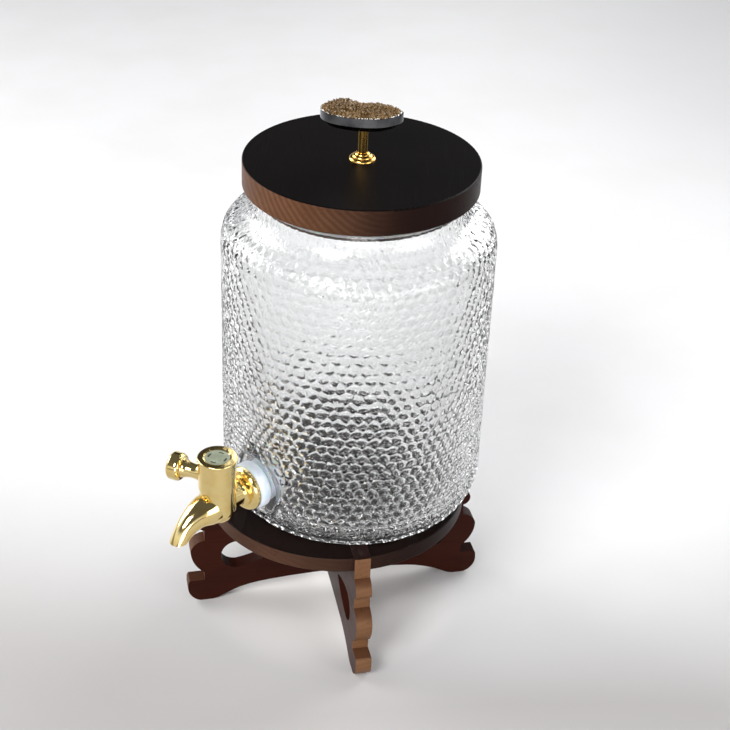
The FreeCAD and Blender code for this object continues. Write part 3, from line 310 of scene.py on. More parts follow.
@dataclass(frozen=True)
class StainedWood(Finish):
    """Dark stained hardwood: dark broad faces, and cut edges that pale towards the left, with painted shade
    darkening them to the right.

    Attributes:
        broad: The direction that the dark faces look in.
        heart: A point of the tree's heart, round which the rings run.
        grain_turn: The grain's turn about Z, in radians. Unturned, it runs along Y.
        across: The direction along which painted shade darkens cut edges, from edge_shade_none to
            edge_shade_full.
        shaded_edge_radius: Radius in plan within which cut edges, under the plate, take the dark face colour
            as painted shade.
        top_shade_from: Height above which upward faces take the tops' near-black painted shade.
    """

    broad: Axis = Axis.Z
    heart: Place = (0.0, 0.0, 0.5)
    grain_turn: float = 0.0
    face_dark: Colour = (0.012, 0.0045, 0.0032)
    face_light: Colour = (0.030, 0.0095, 0.006)
    edge_dark: Colour = (0.090, 0.040, 0.021)
    edge_light: Colour = (0.165, 0.083, 0.047)
    # Painted shade: the colour that cut edges darken to on the right, where little light falls.
    shaded_edge: Colour = (0.010, 0.0040, 0.0032)
    # Painted shade: near black for upward faces high on the piece.
    top_shade: Colour = (0.0050, 0.0024, 0.0020)
    across: Place = (0.9774, -0.2113, 0.0)
    edge_shade_full: float = 0.062
    edge_shade_none: float = -0.050
    # Painted shade: cut edges within this radius, under the plate, take the dark face colour.
    shaded_edge_radius: float = 0.0
    top_shade_from: float = 1.0
    # Upward faces take painted shade in full above this height, half below it.
    under_plate: float = 80.0 * MM
    ring_pitch: float = 3.6 * MM
    ring_warp: float = 7.0 * MM
    ring_share: float = 0.42
    warp: Cloud = Cloud(30.0)
    fibres: Cloud = Cloud(1500.0, 3.0, 0.6, (1.0, 0.035, 1.0))
    pores: Cloud = Cloud(620.0, 2.0, 0.4, (1.0, 0.05, 1.0))
    clouds: Cloud = Cloud(34.0, squeeze=(1.0, 0.4, 1.0))
    gloss: float = 0.36
    shine: float = 0.07

    def build(self, recipe: Recipe) -> None:
        """Mix face and edge stain by where the surface faces, add painted shade on tops, under the plate and
        to the right, and lay grain over both.
        """
        place = recipe.place()
        turned = {"Vector": place, "Location": self.heart, "Rotation": (0.0, 0.0, self.grain_turn)}
        where = recipe.node("ShaderNodeMapping", {"vector_type": "TEXTURE"}, turned)
        warp = recipe.noise(where, self.warp)
        fibres = recipe.noise(where, self.fibres)
        pores = recipe.noise(where, self.pores).step(0.6, 0.72)
        clouds = recipe.noise(where, self.clouds)
        radius = (where * (1.0, 0.04, 1.0)).length() + warp * self.ring_warp
        ring = (radius * (2 * math.pi / self.ring_pitch)).sine()
        rings = (ring * 0.5 + 0.5) ** 1.4 * clouds.step(0.25, 0.65)
        tone = (clouds * 0.9 + fibres * 0.5 - 0.35).clamp()
        face = recipe.mix(tone, self.face_dark, self.face_light)
        pale = recipe.mix((rings * self.ring_share + tone * 0.6).clamp(), self.edge_dark, self.edge_light)
        # Painted shade: cut edges darken towards the right.
        along = place.dot(self.across) + warp * 0.02 - 0.01
        edge = recipe.mix(along.step(self.edge_shade_full, self.edge_shade_none) ** 1.3, self.shaded_edge, pale)
        upward = recipe.facing().part(2).step(0.35, 0.9)
        # The dark share holds stain on broad faces and painted shade on upward faces and inner edges.
        stain = recipe.mix(self.dark_share(recipe, place, upward), edge, face)
        # Painted shade: upward faces high on the piece turn near black.
        top = upward * place.part(2).step(self.top_shade_from, self.top_shade_from + 2 * MM) * 0.8
        deep = recipe.mix(top, self.face_dark, self.top_shade)
        relief = recipe.bump(fibres * 0.5 - pores * 0.6 + rings * 0.2, 0.25, 0.2 * MM)
        recipe.surface({"Base Color": recipe.mix((pores * 0.3 + top).clamp(), stain, deep),
                        "Roughness": (self.gloss + fibres * 0.12 + pores * 0.1).clamp(),
                        "Normal": relief, "IOR": 1.48, "Specular IOR Level": self.shine})

    def dark_share(self, recipe: Recipe, place: Shade, upward: Shade) -> Shade:
        """Find where the dark colour lies: stain on broad faces, painted shade on upward faces and on edges
        near the middle.

        Args:
            recipe: The material's nodes.
            place: The point in the row frame.
            upward: 1 where the surface faces up.

        Returns:
            1 where it's dark, 0 where it's a cut edge.
        """
        flat = abs(recipe.facing().dot(self.broad.value)).step(0.55, 0.9)
        # Painted shade: upward faces take the dark face colour, in full above under_plate and half below it.
        upward_shade = place.part(2).step(self.under_plate, self.under_plate + 5 * MM) * 0.5 + 0.5
        reach = (place * (1.0, 1.0, 0.0)).length()
        # Painted shade: cut edges near the middle, under the plate, take the dark face colour.
        inside = reach.step(self.shaded_edge_radius + 6 * MM, self.shaded_edge_radius) * 0.9
        return (flat + upward * upward_shade + inside).clamp()


@dataclass(frozen=True)
class ClearGlass(Finish):
    """Clear pressed glass with a little waviness left in its skin."""

    tint: Colour = (0.985, 0.992, 0.992)
    ripples: Cloud = Cloud(260.0, 2.0)

    def build(self, recipe: Recipe) -> None:
        """Fine ripples over clear glass."""
        ripples = recipe.noise(recipe.place(), self.ripples)
        recipe.surface({"Base Color": self.tint, "Roughness": 0.015, "Transmission Weight": 1.0, "IOR": 1.5,
                        "Normal": recipe.bump(ripples, 0.35, 0.4 * MM)})


@dataclass(frozen=True)
class PolishedMetal(Finish):
    """Bright plated metal with hairline wear in its polish."""

    colour: Colour = (0.92, 0.73, 0.33)
    worn: Colour = (0.85, 0.63, 0.24)
    roughness: float = 0.06
    wear: float = 0.05
    patches: float = 130.0
    hair: Cloud = Cloud(2600.0, 2.0, squeeze=(1.0, 1.0, 0.15))

    def build(self, recipe: Recipe) -> None:
        """Vary colour and polish slightly over the surface."""
        where = recipe.place()
        clouds = recipe.noise(where, Cloud(self.patches))
        hair = recipe.noise(where, self.hair)
        recipe.surface({"Base Color": recipe.mix(clouds.step(0.35, 0.75), self.colour, self.worn),
                        "Metallic": 1.0,
                        "Roughness": (clouds * self.wear + hair * self.wear * 0.5 + self.roughness).clamp(),
                        "Normal": recipe.bump(hair * 0.4 + clouds, 0.08, 0.1 * MM)})


@dataclass(frozen=True)
class MouldedRubber(Finish):
    """Moulded silicone, rubber or plastic with faint flow marks, black in whatever is sunk into it."""

    colour: Colour = (0.72, 0.79, 0.86)
    shade: Colour = (0.62, 0.70, 0.80)
    roughness: float = 0.38
    glow: float = 0.35
    sunk_below: float = 0.0
    sunk_colour: Colour = (0.006, 0.007, 0.006)
    clouds: Cloud = Cloud(180.0)
    skin: Cloud = Cloud(900.0, 2.0)

    def build(self, recipe: Recipe) -> None:
        """Cloudy colour under a finely grained skin."""
        where = recipe.place()
        skin = recipe.noise(where, self.skin)
        raised = recipe.mix(recipe.noise(where, self.clouds).step(0.3, 0.7), self.shade, self.colour)
        sunk = where.part(2).step(self.sunk_below, self.sunk_below - 0.15 * MM)
        recipe.surface({"Base Color": recipe.mix(sunk, raised, self.sunk_colour),
                        "Roughness": (skin * 0.15 + self.roughness).clamp(),
                        "Subsurface Weight": self.glow, "Subsurface Scale": 4 * MM,
                        "Normal": recipe.bump(skin, 0.12, 0.1 * MM)})


@dataclass(frozen=True)
class Crystals(Finish):
    """Honey and smoke quartz points, with plating over the outermost ones."""

    dark: Colour = (0.112, 0.063, 0.023)
    middle: Colour = (0.215, 0.128, 0.050)
    pale: Colour = (0.38, 0.26, 0.13)
    plating: Colour = (0.74, 0.71, 0.67)
    patches: Cloud = Cloud(95.0)
    points: Cloud = Cloud(650.0, 2.0, 0.6)

    def build(self, recipe: Recipe) -> None:
        """Colour by patches and by the height inside each point, plated where the rim attribute says."""
        where = recipe.place()
        patches = recipe.noise(where, self.patches)
        points = recipe.noise(where, self.points)
        depth = (patches * 1.1 + points * 0.25 + recipe.mark("tip") * 0.30 - 0.45).clamp()
        stops = [(0.05, self.dark), (0.5, self.middle), (0.95, self.pale)]
        quartz = recipe.node("ShaderNodeValToRGB", {"ramp": stops}, {0: depth})
        plated = (recipe.mark("rim") + points * 0.5 - 0.25).step(0.45, 0.55)
        recipe.surface({"Base Color": recipe.mix(plated, quartz, self.plating),
                        "Metallic": plated, "Roughness": (points * 0.3 + 0.16).clamp(),
                        "Coat Weight": 0.12, "Coat Roughness": 0.05, "IOR": 1.50, "Specular IOR Level": 0.30,
                        "Normal": recipe.bump(points, 0.3, 0.3 * MM)})


BRIGHT_STEEL = PolishedMetal("bright_steel", (0.60, 0.60, 0.61), (0.52, 0.52, 0.53), roughness=0.2,
                             wear=0.1)


@dataclass(frozen=True)
class PaintedFloor(Finish):
    """Matt white floor with a faint mottle, toned by painted shade and painted light so that the lamps light
    it evenly.
    """

    colour: Colour = (0.83, 0.83, 0.84)
    stain: Colour = (0.805, 0.80, 0.805)
    # Painted shade in front and towards the right.
    near: Colour = (0.49, 0.475, 0.47)
    # Painted light below the object, lifting its shadow.
    under: Colour = (0.95, 0.93, 0.91)
    # Painted shade where the right-hand lamp's light pools on the floor.
    lamp_pool_shade: Colour = (0.47, 0.47, 0.48)
    under_lamp: Place = (1.15, 0.80, 0.0)
    mottle: Cloud = Cloud(9.0, 5.0)
    grit: Cloud = Cloud(240.0)

    def build(self, recipe: Recipe) -> None:
        """Barely mottled white, with painted shade in front, towards the right and below the right-hand lamp,
        and painted light below the object.
        """
        where = recipe.place()
        across, deep = where.part(0), where.part(1)
        white = recipe.mix(recipe.noise(where, self.mottle).step(0.35, 0.75), self.colour, self.stain)
        # Painted shade below the right-hand lamp.
        even = recipe.mix((where - self.under_lamp).length().step(0.95, 0.35), white, self.lamp_pool_shade)
        # Painted shade in front and towards the right.
        front = (deep + across * 0.6).step(0.10, -0.20)
        corner = (deep - across * 0.5).step(-0.05, -0.30)
        grey = recipe.mix((front + corner * 0.6).clamp(), even, self.near)
        # Painted light below the object.
        recipe.surface({"Base Color": recipe.mix(where.length().step(0.10, 0.045), grey, self.under),
                        "Roughness": 0.75, "Specular IOR Level": 0.25,
                        "Normal": recipe.bump(recipe.noise(where, self.grit), 0.05, 0.5 * MM)})


# --- Work on meshes ----------------------------------------------
class Element(Enum):
    """What can be picked on a mesh."""

    EDGE = "EDGE"
    FACE = "FACE"


class Joining(Enum):
    """What a tool's shape does to a piece."""

    ADD = "UNION"
    CUT = "DIFFERENCE"


class Bench:
    """Hand tools: start a piece from a primitive, pick parts of it, finish it off."""

    @classmethod
    def clear(cls) -> None:
        """Deselect every object and leave edit mode."""
        if bpy.context.object and bpy.context.object.mode != "OBJECT":
            cls.done()
        bpy.ops.object.select_all(action="DESELECT")

    @staticmethod
    def edit() -> None:
        """Go into edit mode with everything selected."""
        bpy.ops.object.mode_set(mode="EDIT")
        bpy.ops.mesh.select_all(action="SELECT")

    @staticmethod
    def edit_none(kind: Element) -> None:
        """Go into edit mode with nothing selected, ready to pick edges or faces."""
        bpy.ops.object.mode_set(mode="EDIT")
        bpy.ops.mesh.select_mode(type=kind.value)
        bpy.ops.mesh.select_all(action="DESELECT")

    @staticmethod
    def done() -> None:
        """Leave edit mode."""
        bpy.ops.object.mode_set(mode="OBJECT")

    @classmethod
    def ring(cls, name: str, corners: Sequence[Sequence[float]], filled: bool = False) -> Piece:
        """Start a piece from one closed line.

        Args:
            name: The piece's name.
            corners: Its corners in order.
            filled: Whether it has a face.

        Returns:
            The piece.
        """
        cls.clear()
        bpy.ops.mesh.primitive_circle_add(vertices=len(corners), fill_type="NGON" if filled else "NOTHING",
                                          radius=0.01, location=(0.0, 0.0, 0.0))
        piece = bpy.context.object
        piece.name = piece.data.name = name
        for vertex, corner in zip(piece.data.vertices, corners):
            vertex.co = corner
        return piece

    @classmethod
    def spun(cls, name: str, section: Sequence[Point], axis: Point, steps: int) -> Piece:
        """Turn a closed section about an upright axis.

        Args:
            name: The piece's name.
            section: Radius and height of each corner, in metres, round the section.
            axis: The axis's place in plan.
            steps: Facets round the piece.

        Returns:
            The turned piece.
        """
        piece = cls.ring(name, [(axis[0] + radius, axis[1], height) for radius, height in section])
        cls.edit()
        bpy.ops.mesh.spin(steps=steps, angle=2 * math.pi, center=(*axis, 0.0), axis=(0.0, 0.0, 1.0),
                          use_auto_merge=False)
        cls.close_up()
        return piece

    @classmethod
    def close_up(cls) -> None:
        """Merge doubles, drop what is loose, and turn the faces outwards. Leaves edit mode."""
        bpy.ops.mesh.select_all(action="SELECT")
        bpy.ops.mesh.remove_doubles(threshold=1e-6)
        bpy.ops.mesh.dissolve_degenerate(threshold=1e-7)
        bpy.ops.mesh.delete_loose(use_verts=True, use_edges=True, use_faces=False)
        bpy.ops.mesh.select_all(action="SELECT")
        bpy.ops.mesh.normals_make_consistent(inside=False)
        cls.done()

    @staticmethod
    def smooth(piece: Piece, angle: float) -> None:
        """Shade smooth, sharp over an angle in degrees."""
        bpy.context.view_layer.objects.active = piece
        piece.select_set(True)
        bpy.ops.object.shade_smooth_by_angle(angle=math.radians(angle))

    @classmethod
    def pick(cls, piece: Piece, kind: Element, wanted: np.ndarray) -> None:
        """Go into edit mode with just these edges or faces selected.

        Args:
            piece: The piece.
            kind: Edges or faces.
            wanted: True for each edge or face to select.
        """
        bpy.context.view_layer.objects.active = piece
        cls.edit_none(kind)
        cls.done()
        parts = piece.data.edges if kind is Element.EDGE else piece.data.polygons
        parts.foreach_set("select", wanted.astype(bool))
        bpy.ops.object.mode_set(mode="EDIT")

    @classmethod
    def combine(cls, piece: Piece, tool: Piece, joining: Joining) -> None:
        """Add a tool's shape to a piece or cut it away, and throw the tool away.

        Args:
            piece: The piece.
            tool: The tool.
            joining: Whether it's added or cut away.
        """
        step = piece.modifiers.new(joining.name, "BOOLEAN")
        step.operation = joining.value
        step.solver = "EXACT"
        step.object = tool
        cls.clear()
        bpy.context.view_layer.objects.active = piece
        piece.select_set(True)
        bpy.ops.object.modifier_apply(modifier=step.name)
        bpy.data.objects.remove(tool)

    @staticmethod
    def points(piece: Piece) -> np.ndarray:
        """Give the piece's vertices as rows."""
        found = np.zeros(len(piece.data.vertices) * 3)
        piece.data.vertices.foreach_get("co", found)
        return found.reshape(-1, 3)

    @staticmethod
    def move(piece: Piece, points: np.ndarray) -> None:
        """Put the piece's vertices at these rows."""
        piece.data.vertices.foreach_set("co", points.ravel())
        piece.data.update()

    @staticmethod
    def mark(piece: Piece, name: str, values: np.ndarray) -> None:
        """Keep one number for each vertex."""
        piece.data.attributes.new(name, "FLOAT", "POINT").data.foreach_set("value", values.astype(np.float32))


def arc(centre: Point, radius: float, start: float, end: float, count: int) -> List[Point]:
    """Give points along an arc.

    Args:
        centre: Its centre.
        radius: Its radius.
        start: First angle, in degrees.
        end: Last angle, in degrees.
        count: Steps.

    Returns:
        count + 1 points.
    """
    angles = [math.radians(start + (end - start) * i / count) for i in range(count + 1)]
    return [(centre[0] + radius * math.cos(a), centre[1] + radius * math.sin(a)) for a in angles]


def ease(values: np.ndarray, low: float, high: float) -> np.ndarray:
    """Rise smoothly from 0 at low to 1 at high, for each value."""
    share = np.clip((values - low) / (high - low), 0.0, 1.0)
    return share * share * (3.0 - 2.0 * share)


class Part:
    """What every sub-assembly can do: dress CAD nodes and hand over new pieces."""

    body: str = "root"

    def dress(self, finish: Finish, *nodes: str) -> None:
        """Give CAD nodes their finish.

        Args:
            finish: The finish.
            *nodes: The nodes' names.
        """
        for node in nodes:
            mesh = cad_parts[node].data
            mesh.materials.clear()
            mesh.materials.append(finish.material())
            LOG.info("%s: %s", node, finish.name)

    def hand_over(self, piece: Piece, finish: Finish, slot: str, *stands_for: str) -> None:
        """Dress a new piece and let it ride.

        Args:
            piece: The piece.
            finish: Its finish.
            slot: Not used.
            *stands_for: CAD nodes that it replaces.
        """
        piece.data.materials.clear()
        piece.data.materials.append(finish.material())
        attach(piece, self.body)
        if stands_for:
            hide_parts(*stands_for)
        LOG.info("%s: %s, %d faces", piece.name, finish.name, len(piece.data.polygons))


# --- The dispenser -----------------------------------------------
@dataclass
class Stand(Part):
    """Round plate on two crossed boards."""

    body: str = "stand"
    # Cut edges within this radius lie under the plate and take painted shade.
    plate_shade_radius: float = 77.0 * MM
    tab_top: float = 83.0 * MM

    def make(self) -> None:
        """Dress the plate and the boards."""
        self.dress(StainedWood("stained_plate", heart=(0.03, 0.0, 0.26), grain_turn=-0.23, ring_share=0.25,
                               face_dark=(0.0050, 0.0024, 0.0020), face_light=(0.013, 0.0055, 0.0040),
                               edge_dark=(0.056, 0.025, 0.015), edge_light=(0.110, 0.055, 0.033)),
                   "stand_plate")
        # Its cut edges are paler than the other boards': partly lighter wood, partly painted light where the
        # lamps fall on the front leg's edge.
        self.dress(StainedWood("stained_board_front", broad=Axis.X, heart=(0.05, 0.0, -0.2), ring_share=0.2,
                               face_dark=(0.024, 0.0055, 0.003), face_light=(0.055, 0.012, 0.006),
                               edge_dark=(0.17, 0.076, 0.032), edge_light=(0.31, 0.155, 0.073),
                               # Painted shade darkens these cut edges towards the right.
                               edge_shade_full=0.16, shine=0.16,
                               # Painted shade on cut edges under the plate and on upward faces at the tabs'
                               # tops.
                               shaded_edge_radius=self.plate_shade_radius, top_shade_from=self.tab_top),
                   "leg_board_lower")
        self.dress(StainedWood("stained_board_side", broad=Axis.Y, heart=(0.0, 0.06, -0.2),
                               grain_turn=math.pi / 2, ring_share=0.25,
                               face_dark=(0.018, 0.0038, 0.0020), face_light=(0.048, 0.0095, 0.0042),
                               # Painted shade on cut edges under the plate and on upward faces at the tabs'
                               # tops.
                               shaded_edge_radius=self.plate_shade_radius, top_shade_from=self.tab_top),
                   "leg_board_upper")


@dataclass
class Jar(Part):
    """Glass jar with a hammered skin and a flat boss for the tap."""

    body: str = "jar"
    centre: Point = JAR_AXIS
    base: float = 86.5 * MM
    radius: float = 83.0 * MM
    wall: float = 3.6 * MM
    height: float = 216.0 * MM
    floor: float = 7.0 * MM
    pushup_radius: float = 50.0 * MM
    pushup: float = 1.6 * MM
    heel: float = 24.6 * MM
    heel_inside: float = 20.0 * MM
    shoulder: float = 182.0 * MM
    shoulder_round: float = 14.5 * MM
    sweep_from: float = 68.0
    neck: float = 63.5 * MM
    mouth: float = 59.5 * MM
    rim_round: float = 1.6 * MM
    boss_face: float = 84.0 * MM
    boss_back: float = 80.1 * MM
    boss_radius: float = 20.0 * MM
    boss_edge: float = 0.8 * MM
    plain_round_boss: float = 21.5 * MM
    tap_hole: float = 8.1 * MM
    drill_from: float = 70.0 * MM
    drill_to: float = 90.0 * MM
    tap_height: float = 40.0 * MM
    tap_angle: float = math.radians(-147.0)
    cells_round: int = 75
    steps_per_cell: int = 4
    cell_rise: float = 6.1 * MM
    zigzag: float = 1.0 * MM
    wander: float = 1.0 * MM
    heave: float = 0.40 * MM
    ridge_width: float = 0.80 * MM
    ridge_depth: float = 0.58 * MM
    pocket_width: float = 0.90 * MM
    pocket_depth: float = 0.34 * MM
    pocket_tip: float = 0.05 * MM
    forces: Tuple[float, ...] = (1.75, 1.4, 1.15, 0.95, 0.75, 0.42)
    force_jitter: float = 0.6
    seed: int = 11

    @property
    def steps(self) -> int:
        """Give the facets round the jar."""
        return self.cells_round * self.steps_per_cell

    def skin(self) -> Tuple[np.ndarray, np.ndarray]:
        """Give the hammered stretch of the outer line, from under the heel up to the neck.

        Returns:
            The length along it to each point, and the points.
        """
        line = arc((self.radius - self.heel, self.heel), self.heel, -90.0, 0.0, 40)
        line += arc((self.radius - self.shoulder_round, self.shoulder), self.shoulder_round,
                    0.0, self.sweep_from, 20)
        centre, sweep = self.neck_sweep()
        line += arc(centre, sweep, 180.0 + self.sweep_from, 180.0, 16)[1:]
        points = np.array(line)
        return np.concatenate([[0.0], np.cumsum(np.hypot(*np.diff(points, axis=0).T))]), points

    def neck_sweep(self) -> Tuple[Point, float]:
        """Give the centre and the radius of the hollow sweep from the shoulder into the neck."""
        turn = math.radians(self.sweep_from)
        out = self.radius - self.shoulder_round + self.shoulder_round * math.cos(turn)
        up = self.shoulder + self.shoulder_round * math.sin(turn)
        sweep = (out - self.neck) / (1 - math.cos(turn))
        return (self.neck + sweep, up + sweep * math.sin(turn)), sweep

    def on_skin(self, lengths: np.ndarray) -> np.ndarray:
        """Give the radius and height at these lengths along the hammered stretch."""
        along, points = self.skin()
        return np.stack([np.interp(lengths, along, points[:, axis]) for axis in (0, 1)], axis=-1)

    def row_lengths(self) -> np.ndarray:
        """Give the length along the skin to each row of ridges."""
        whole = self.skin()[0][-1]
        return np.linspace(0.0, whole, round(whole / self.cell_rise) + 1)

    def section(self) -> List[Point]:
        """Give the jar's section, from the axis under the base, up outside and down inside.

        Returns:
            Radius and height of each point, the jar's base at height 0.
        """
        crown = (self.pushup_radius ** 2 + self.pushup ** 2) / (2 * self.pushup)
        half = math.degrees(math.asin(self.pushup_radius / crown))
        line = arc((0.0, self.pushup - crown), crown, 90.0, 90.0 - half, 6)
        line += [tuple(point) for point in self.on_skin(self.row_lengths())]
        rim = self.height - self.rim_round
        line += arc((self.neck - self.rim_round, rim), self.rim_round, 0.0, 90.0, 3)
        line += arc((self.mouth + self.rim_round, rim), self.rim_round, 90.0, 180.0, 3)
        bore = self.radius - self.wall
        centre, sweep = self.neck_sweep()
        line += arc(centre, sweep + self.wall, 180.0, 180.0 + self.sweep_from, 12)
        line += arc((self.radius - self.shoulder_round, self.shoulder),
                    self.shoulder_round - self.wall, self.sweep_from, 0.0, 6)[1:]
        low = self.floor + self.heel_inside
        line += [(bore, self.shoulder + (low - self.shoulder) * i / 5) for i in range(1, 5)]
        line += arc((bore - self.heel_inside, low), self.heel_inside, 0.0, -90.0, 8)
        line += [(0.0, self.floor)]
        return line

    @property
    def foot(self) -> np.ndarray:
        """Give the middle of the jar's base, in the row frame."""
        return np.array([*self.centre, self.base])

    def local(self, piece: Piece) -> np.ndarray:
        """Give the piece's vertices from the jar's base."""
        return Bench.points(piece) - self.foot

    def from_tap(self, local: np.ndarray) -> np.ndarray:
        """Give each point's distance from the tap's axis, large behind the jar."""
        ahead = local[:, 0] * math.cos(self.tap_angle) + local[:, 1] * math.sin(self.tap_angle)
        aside = local[:, 1] * math.cos(self.tap_angle) - local[:, 0] * math.sin(self.tap_angle)
        return np.where(ahead > 0, np.hypot(aside, local[:, 2] - self.tap_height), 1.0)

    def rows_and_columns(self, piece: Piece) -> Tuple[np.ndarray, np.ndarray]:
        """Find which row of ridges and which facet line each vertex is on.

        Args:
            piece: The turned jar.

        Returns:
            Rows, -1 off the hammered skin, and columns.
        """
        local = self.local(piece)
        turns = np.arctan2(local[:, 1], local[:, 0]) / (2 * math.pi)
        column = np.round(turns * self.steps).astype(int) % self.steps
        places = self.on_skin(self.row_lengths())
        gap = np.hypot(np.hypot(local[:, 0], local[:, 1])[:, None] - places[None, :, 0],
                       local[:, 2][:, None] - places[None, :, 1])
        return np.where(gap.min(axis=1) < 1e-5, gap.argmin(axis=1), -1), column

    def join_cells(self, piece: Piece) -> None:
        """Take out upright edges, so that facets join into staggered cells.

        Args:
            piece: The turned jar.
        """
        row, column = self.rows_and_columns(piece)
        ends = np.array([tuple(edge.vertices) for edge in piece.data.edges])
        rows, columns = row[ends], column[ends]
        low = rows.min(axis=1)
        upright = (low >= 0) & (rows.max(axis=1) == low + 1) & (columns[:, 0] == columns[:, 1])
        stagger = self.steps_per_cell // 2 * (low % 2)
        Bench.pick(piece, Element.EDGE, upright & ((columns[:, 0] - stagger) % self.steps_per_cell != 0))
        bpy.ops.mesh.dissolve_edges(use_verts=False)
        Bench.done()

    def wander_ridges(self, piece: Piece) -> None:
        """Move the ridges into an uneven honeycomb.

        Args:
            piece: The jar with its cells joined.
        """
        dice = np.random.default_rng(self.seed)
        row, column = self.rows_and_columns(piece)
        lengths = self.row_lengths()
        slide, swing = dice.uniform(-self.wander, self.wander, (2, len(lengths), self.steps))
        for drift in (slide, swing):
            drift[:, 1::2] = (drift[:, 0::2] + np.roll(drift[:, 0::2], -1, axis=1)) / 2
            drift[[0, -1]] = 0.0
        inner = (row > 0) & (row < len(lengths) - 1)
        turn = 2 * math.pi / self.steps_per_cell
        wave = self.zigzag * np.cos(turn * column - math.pi * (row % 2)) * inner
        at = np.maximum(row, 0)
        places = self.on_skin(lengths[at] + slide[at, column] + wave)
        angle = 2 * math.pi * column / self.steps + swing[at, column] / self.radius
        sink = dice.uniform(0.0, self.heave, (len(lengths), self.steps))[at, column] * inner
        sink *= ease(self.from_tap(self.local(piece)), self.plain_round_boss, 1.4 * self.plain_round_boss)
        places[:, 0] -= sink
        moved = np.stack([places[:, 0] * np.cos(angle), places[:, 0] * np.sin(angle), places[:, 1]], axis=1)
        local = np.where((row >= 0)[:, None], moved, self.local(piece))
        Bench.move(piece, local + self.foot)

    def hammer(self, piece: Piece) -> None:
        """Sink a pocket into each cell, deepest at the foot of the jar, and none round the boss.

        Args:
            piece: The jar with its ridges moved.
        """
        dice = np.random.default_rng(self.seed + 1)
        sides = np.array([len(face.vertices) for face in piece.data.polygons])
        centres = np.array([tuple(face.center) for face in piece.data.polygons]) - self.foot
        cell = (sides > 4) & (self.from_tap(centres) > self.plain_round_boss) & (centres[:, 2] > 1 * MM)
        cell &= np.hypot(centres[:, 0], centres[:, 1]) > self.neck
        top = len(self.forces) - 1
        jitter = dice.uniform(-self.force_jitter, self.force_jitter, len(sides))
        group = np.clip(centres[:, 2] / self.shoulder * top + jitter, 0, top).astype(int)
        piece.data.attributes.new("blow", "INT", "FACE")
        self.write_blows(piece, np.where(cell, group, -1))
        insets = ((self.ridge_width, self.ridge_depth), (self.pocket_width, self.pocket_depth))
        for number, force in enumerate(self.forces):
            Bench.pick(piece, Element.FACE, self.read_blows(piece) == number)
            for width, depth in insets:
                bpy.ops.mesh.inset(thickness=width, depth=-depth * force, use_individual=True)
            bpy.ops.mesh.poke(offset=-self.pocket_tip)
            Bench.done()
            blows = self.read_blows(piece)
            self.write_blows(piece, np.where(blows == number, -1, blows))
        piece.data.attributes.remove(piece.data.attributes["blow"])
        LOG.info("%s: %d pockets", piece.name, int(cell.sum()))

    @staticmethod
    def read_blows(piece: Piece) -> np.ndarray:
        """Give each face's force group, -1 where it isn't struck."""
        blows = np.zeros(len(piece.data.polygons), np.int32)
        piece.data.attributes["blow"].data.foreach_get("value", blows)
        return blows

    @staticmethod
    def write_blows(piece: Piece, blows: np.ndarray) -> None:
        """Keep each face's force group."""
        piece.data.attributes["blow"].data.foreach_set("value", blows.astype(np.int32))

    def round_tool(self, radius: float, near: float, far: float) -> Piece:
        """Make a round bar on the tap's axis.

        Args:
            radius: Its radius.
            near: Where it starts, from the jar's axis.
            far: Where it ends.

        Returns:
            The bar.
        """
        Bench.clear()
        reach = (near + far) / 2
        middle = (self.centre[0] + reach * math.cos(self.tap_angle),
                  self.centre[1] + reach * math.sin(self.tap_angle), self.base + self.tap_height)
        bpy.ops.mesh.primitive_cylinder_add(vertices=72, radius=radius, depth=far - near, location=middle,
                                            rotation=(0.0, math.pi / 2, self.tap_angle))
        bpy.ops.object.transform_apply(location=True, rotation=True, scale=True)
        return bpy.context.object

    def fit_boss(self, piece: Piece) -> None:
        """Add the boss with its rounded edge, then drill the tap's hole.

        Args:
            piece: The hammered jar.
        """
        boss = self.round_tool(self.boss_radius, self.boss_back, self.boss_face)
        Bench.edit_none(Element.EDGE)
        bpy.ops.mesh.edges_select_sharp(sharpness=math.radians(60.0))
        bpy.ops.mesh.bevel(offset=self.boss_edge, segments=3, affect="EDGES")
        Bench.done()
        Bench.combine(piece, boss, Joining.ADD)
        Bench.combine(piece, self.round_tool(self.tap_hole, self.drill_from, self.drill_to), Joining.CUT)

    def make(self) -> None:
        """Turn, hammer and drill the jar."""
        section = [(radius, self.base + height) for radius, height in self.section()]
        piece = Bench.spun("hammered_jar", section, self.centre, self.steps)
        self.join_cells(piece)
        self.wander_ridges(piece)
        self.hammer(piece)
        self.fit_boss(piece)
        Bench.smooth(piece, 75.0)
        self.hand_over(piece, ClearGlass("clear_glass"), "clear_glass", "glass_jar")


@dataclass
class Tap(Part):
    """Quarter-turn tap and its seals."""

    body: str = "jar"
    slot_depth: float = 0.3 * MM

    def make(self) -> None:
        """Dress the tap."""
        self.dress(PolishedMetal("polished_gold"), "tap_body", "tap_handle", "plug_retaining_ring",
                   "valve_plug")
        self.dress(MouldedRubber("milky_silicone"), "tap_outer_washer", "tap_inner_washer")
        self.dress(MouldedRubber("white_nylon", (0.80, 0.80, 0.79), (0.74, 0.74, 0.73), roughness=0.45,
                                 glow=0.1), "tap_nut")
        self.dress(MouldedRubber("black_rubber", (0.02, 0.02, 0.02), (0.03, 0.03, 0.03), roughness=0.5,
                                 glow=0.0), "plug_o_rings")
        self.dress(BRIGHT_STEEL, "handle_screw")
        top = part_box("handle_cap")[1][2]
        self.dress(MouldedRubber("sage_plastic", (0.40, 0.44, 0.33), (0.28, 0.31, 0.22), roughness=0.35,
                                 glow=0.0, sunk_below=top - self.slot_depth), "handle_cap")


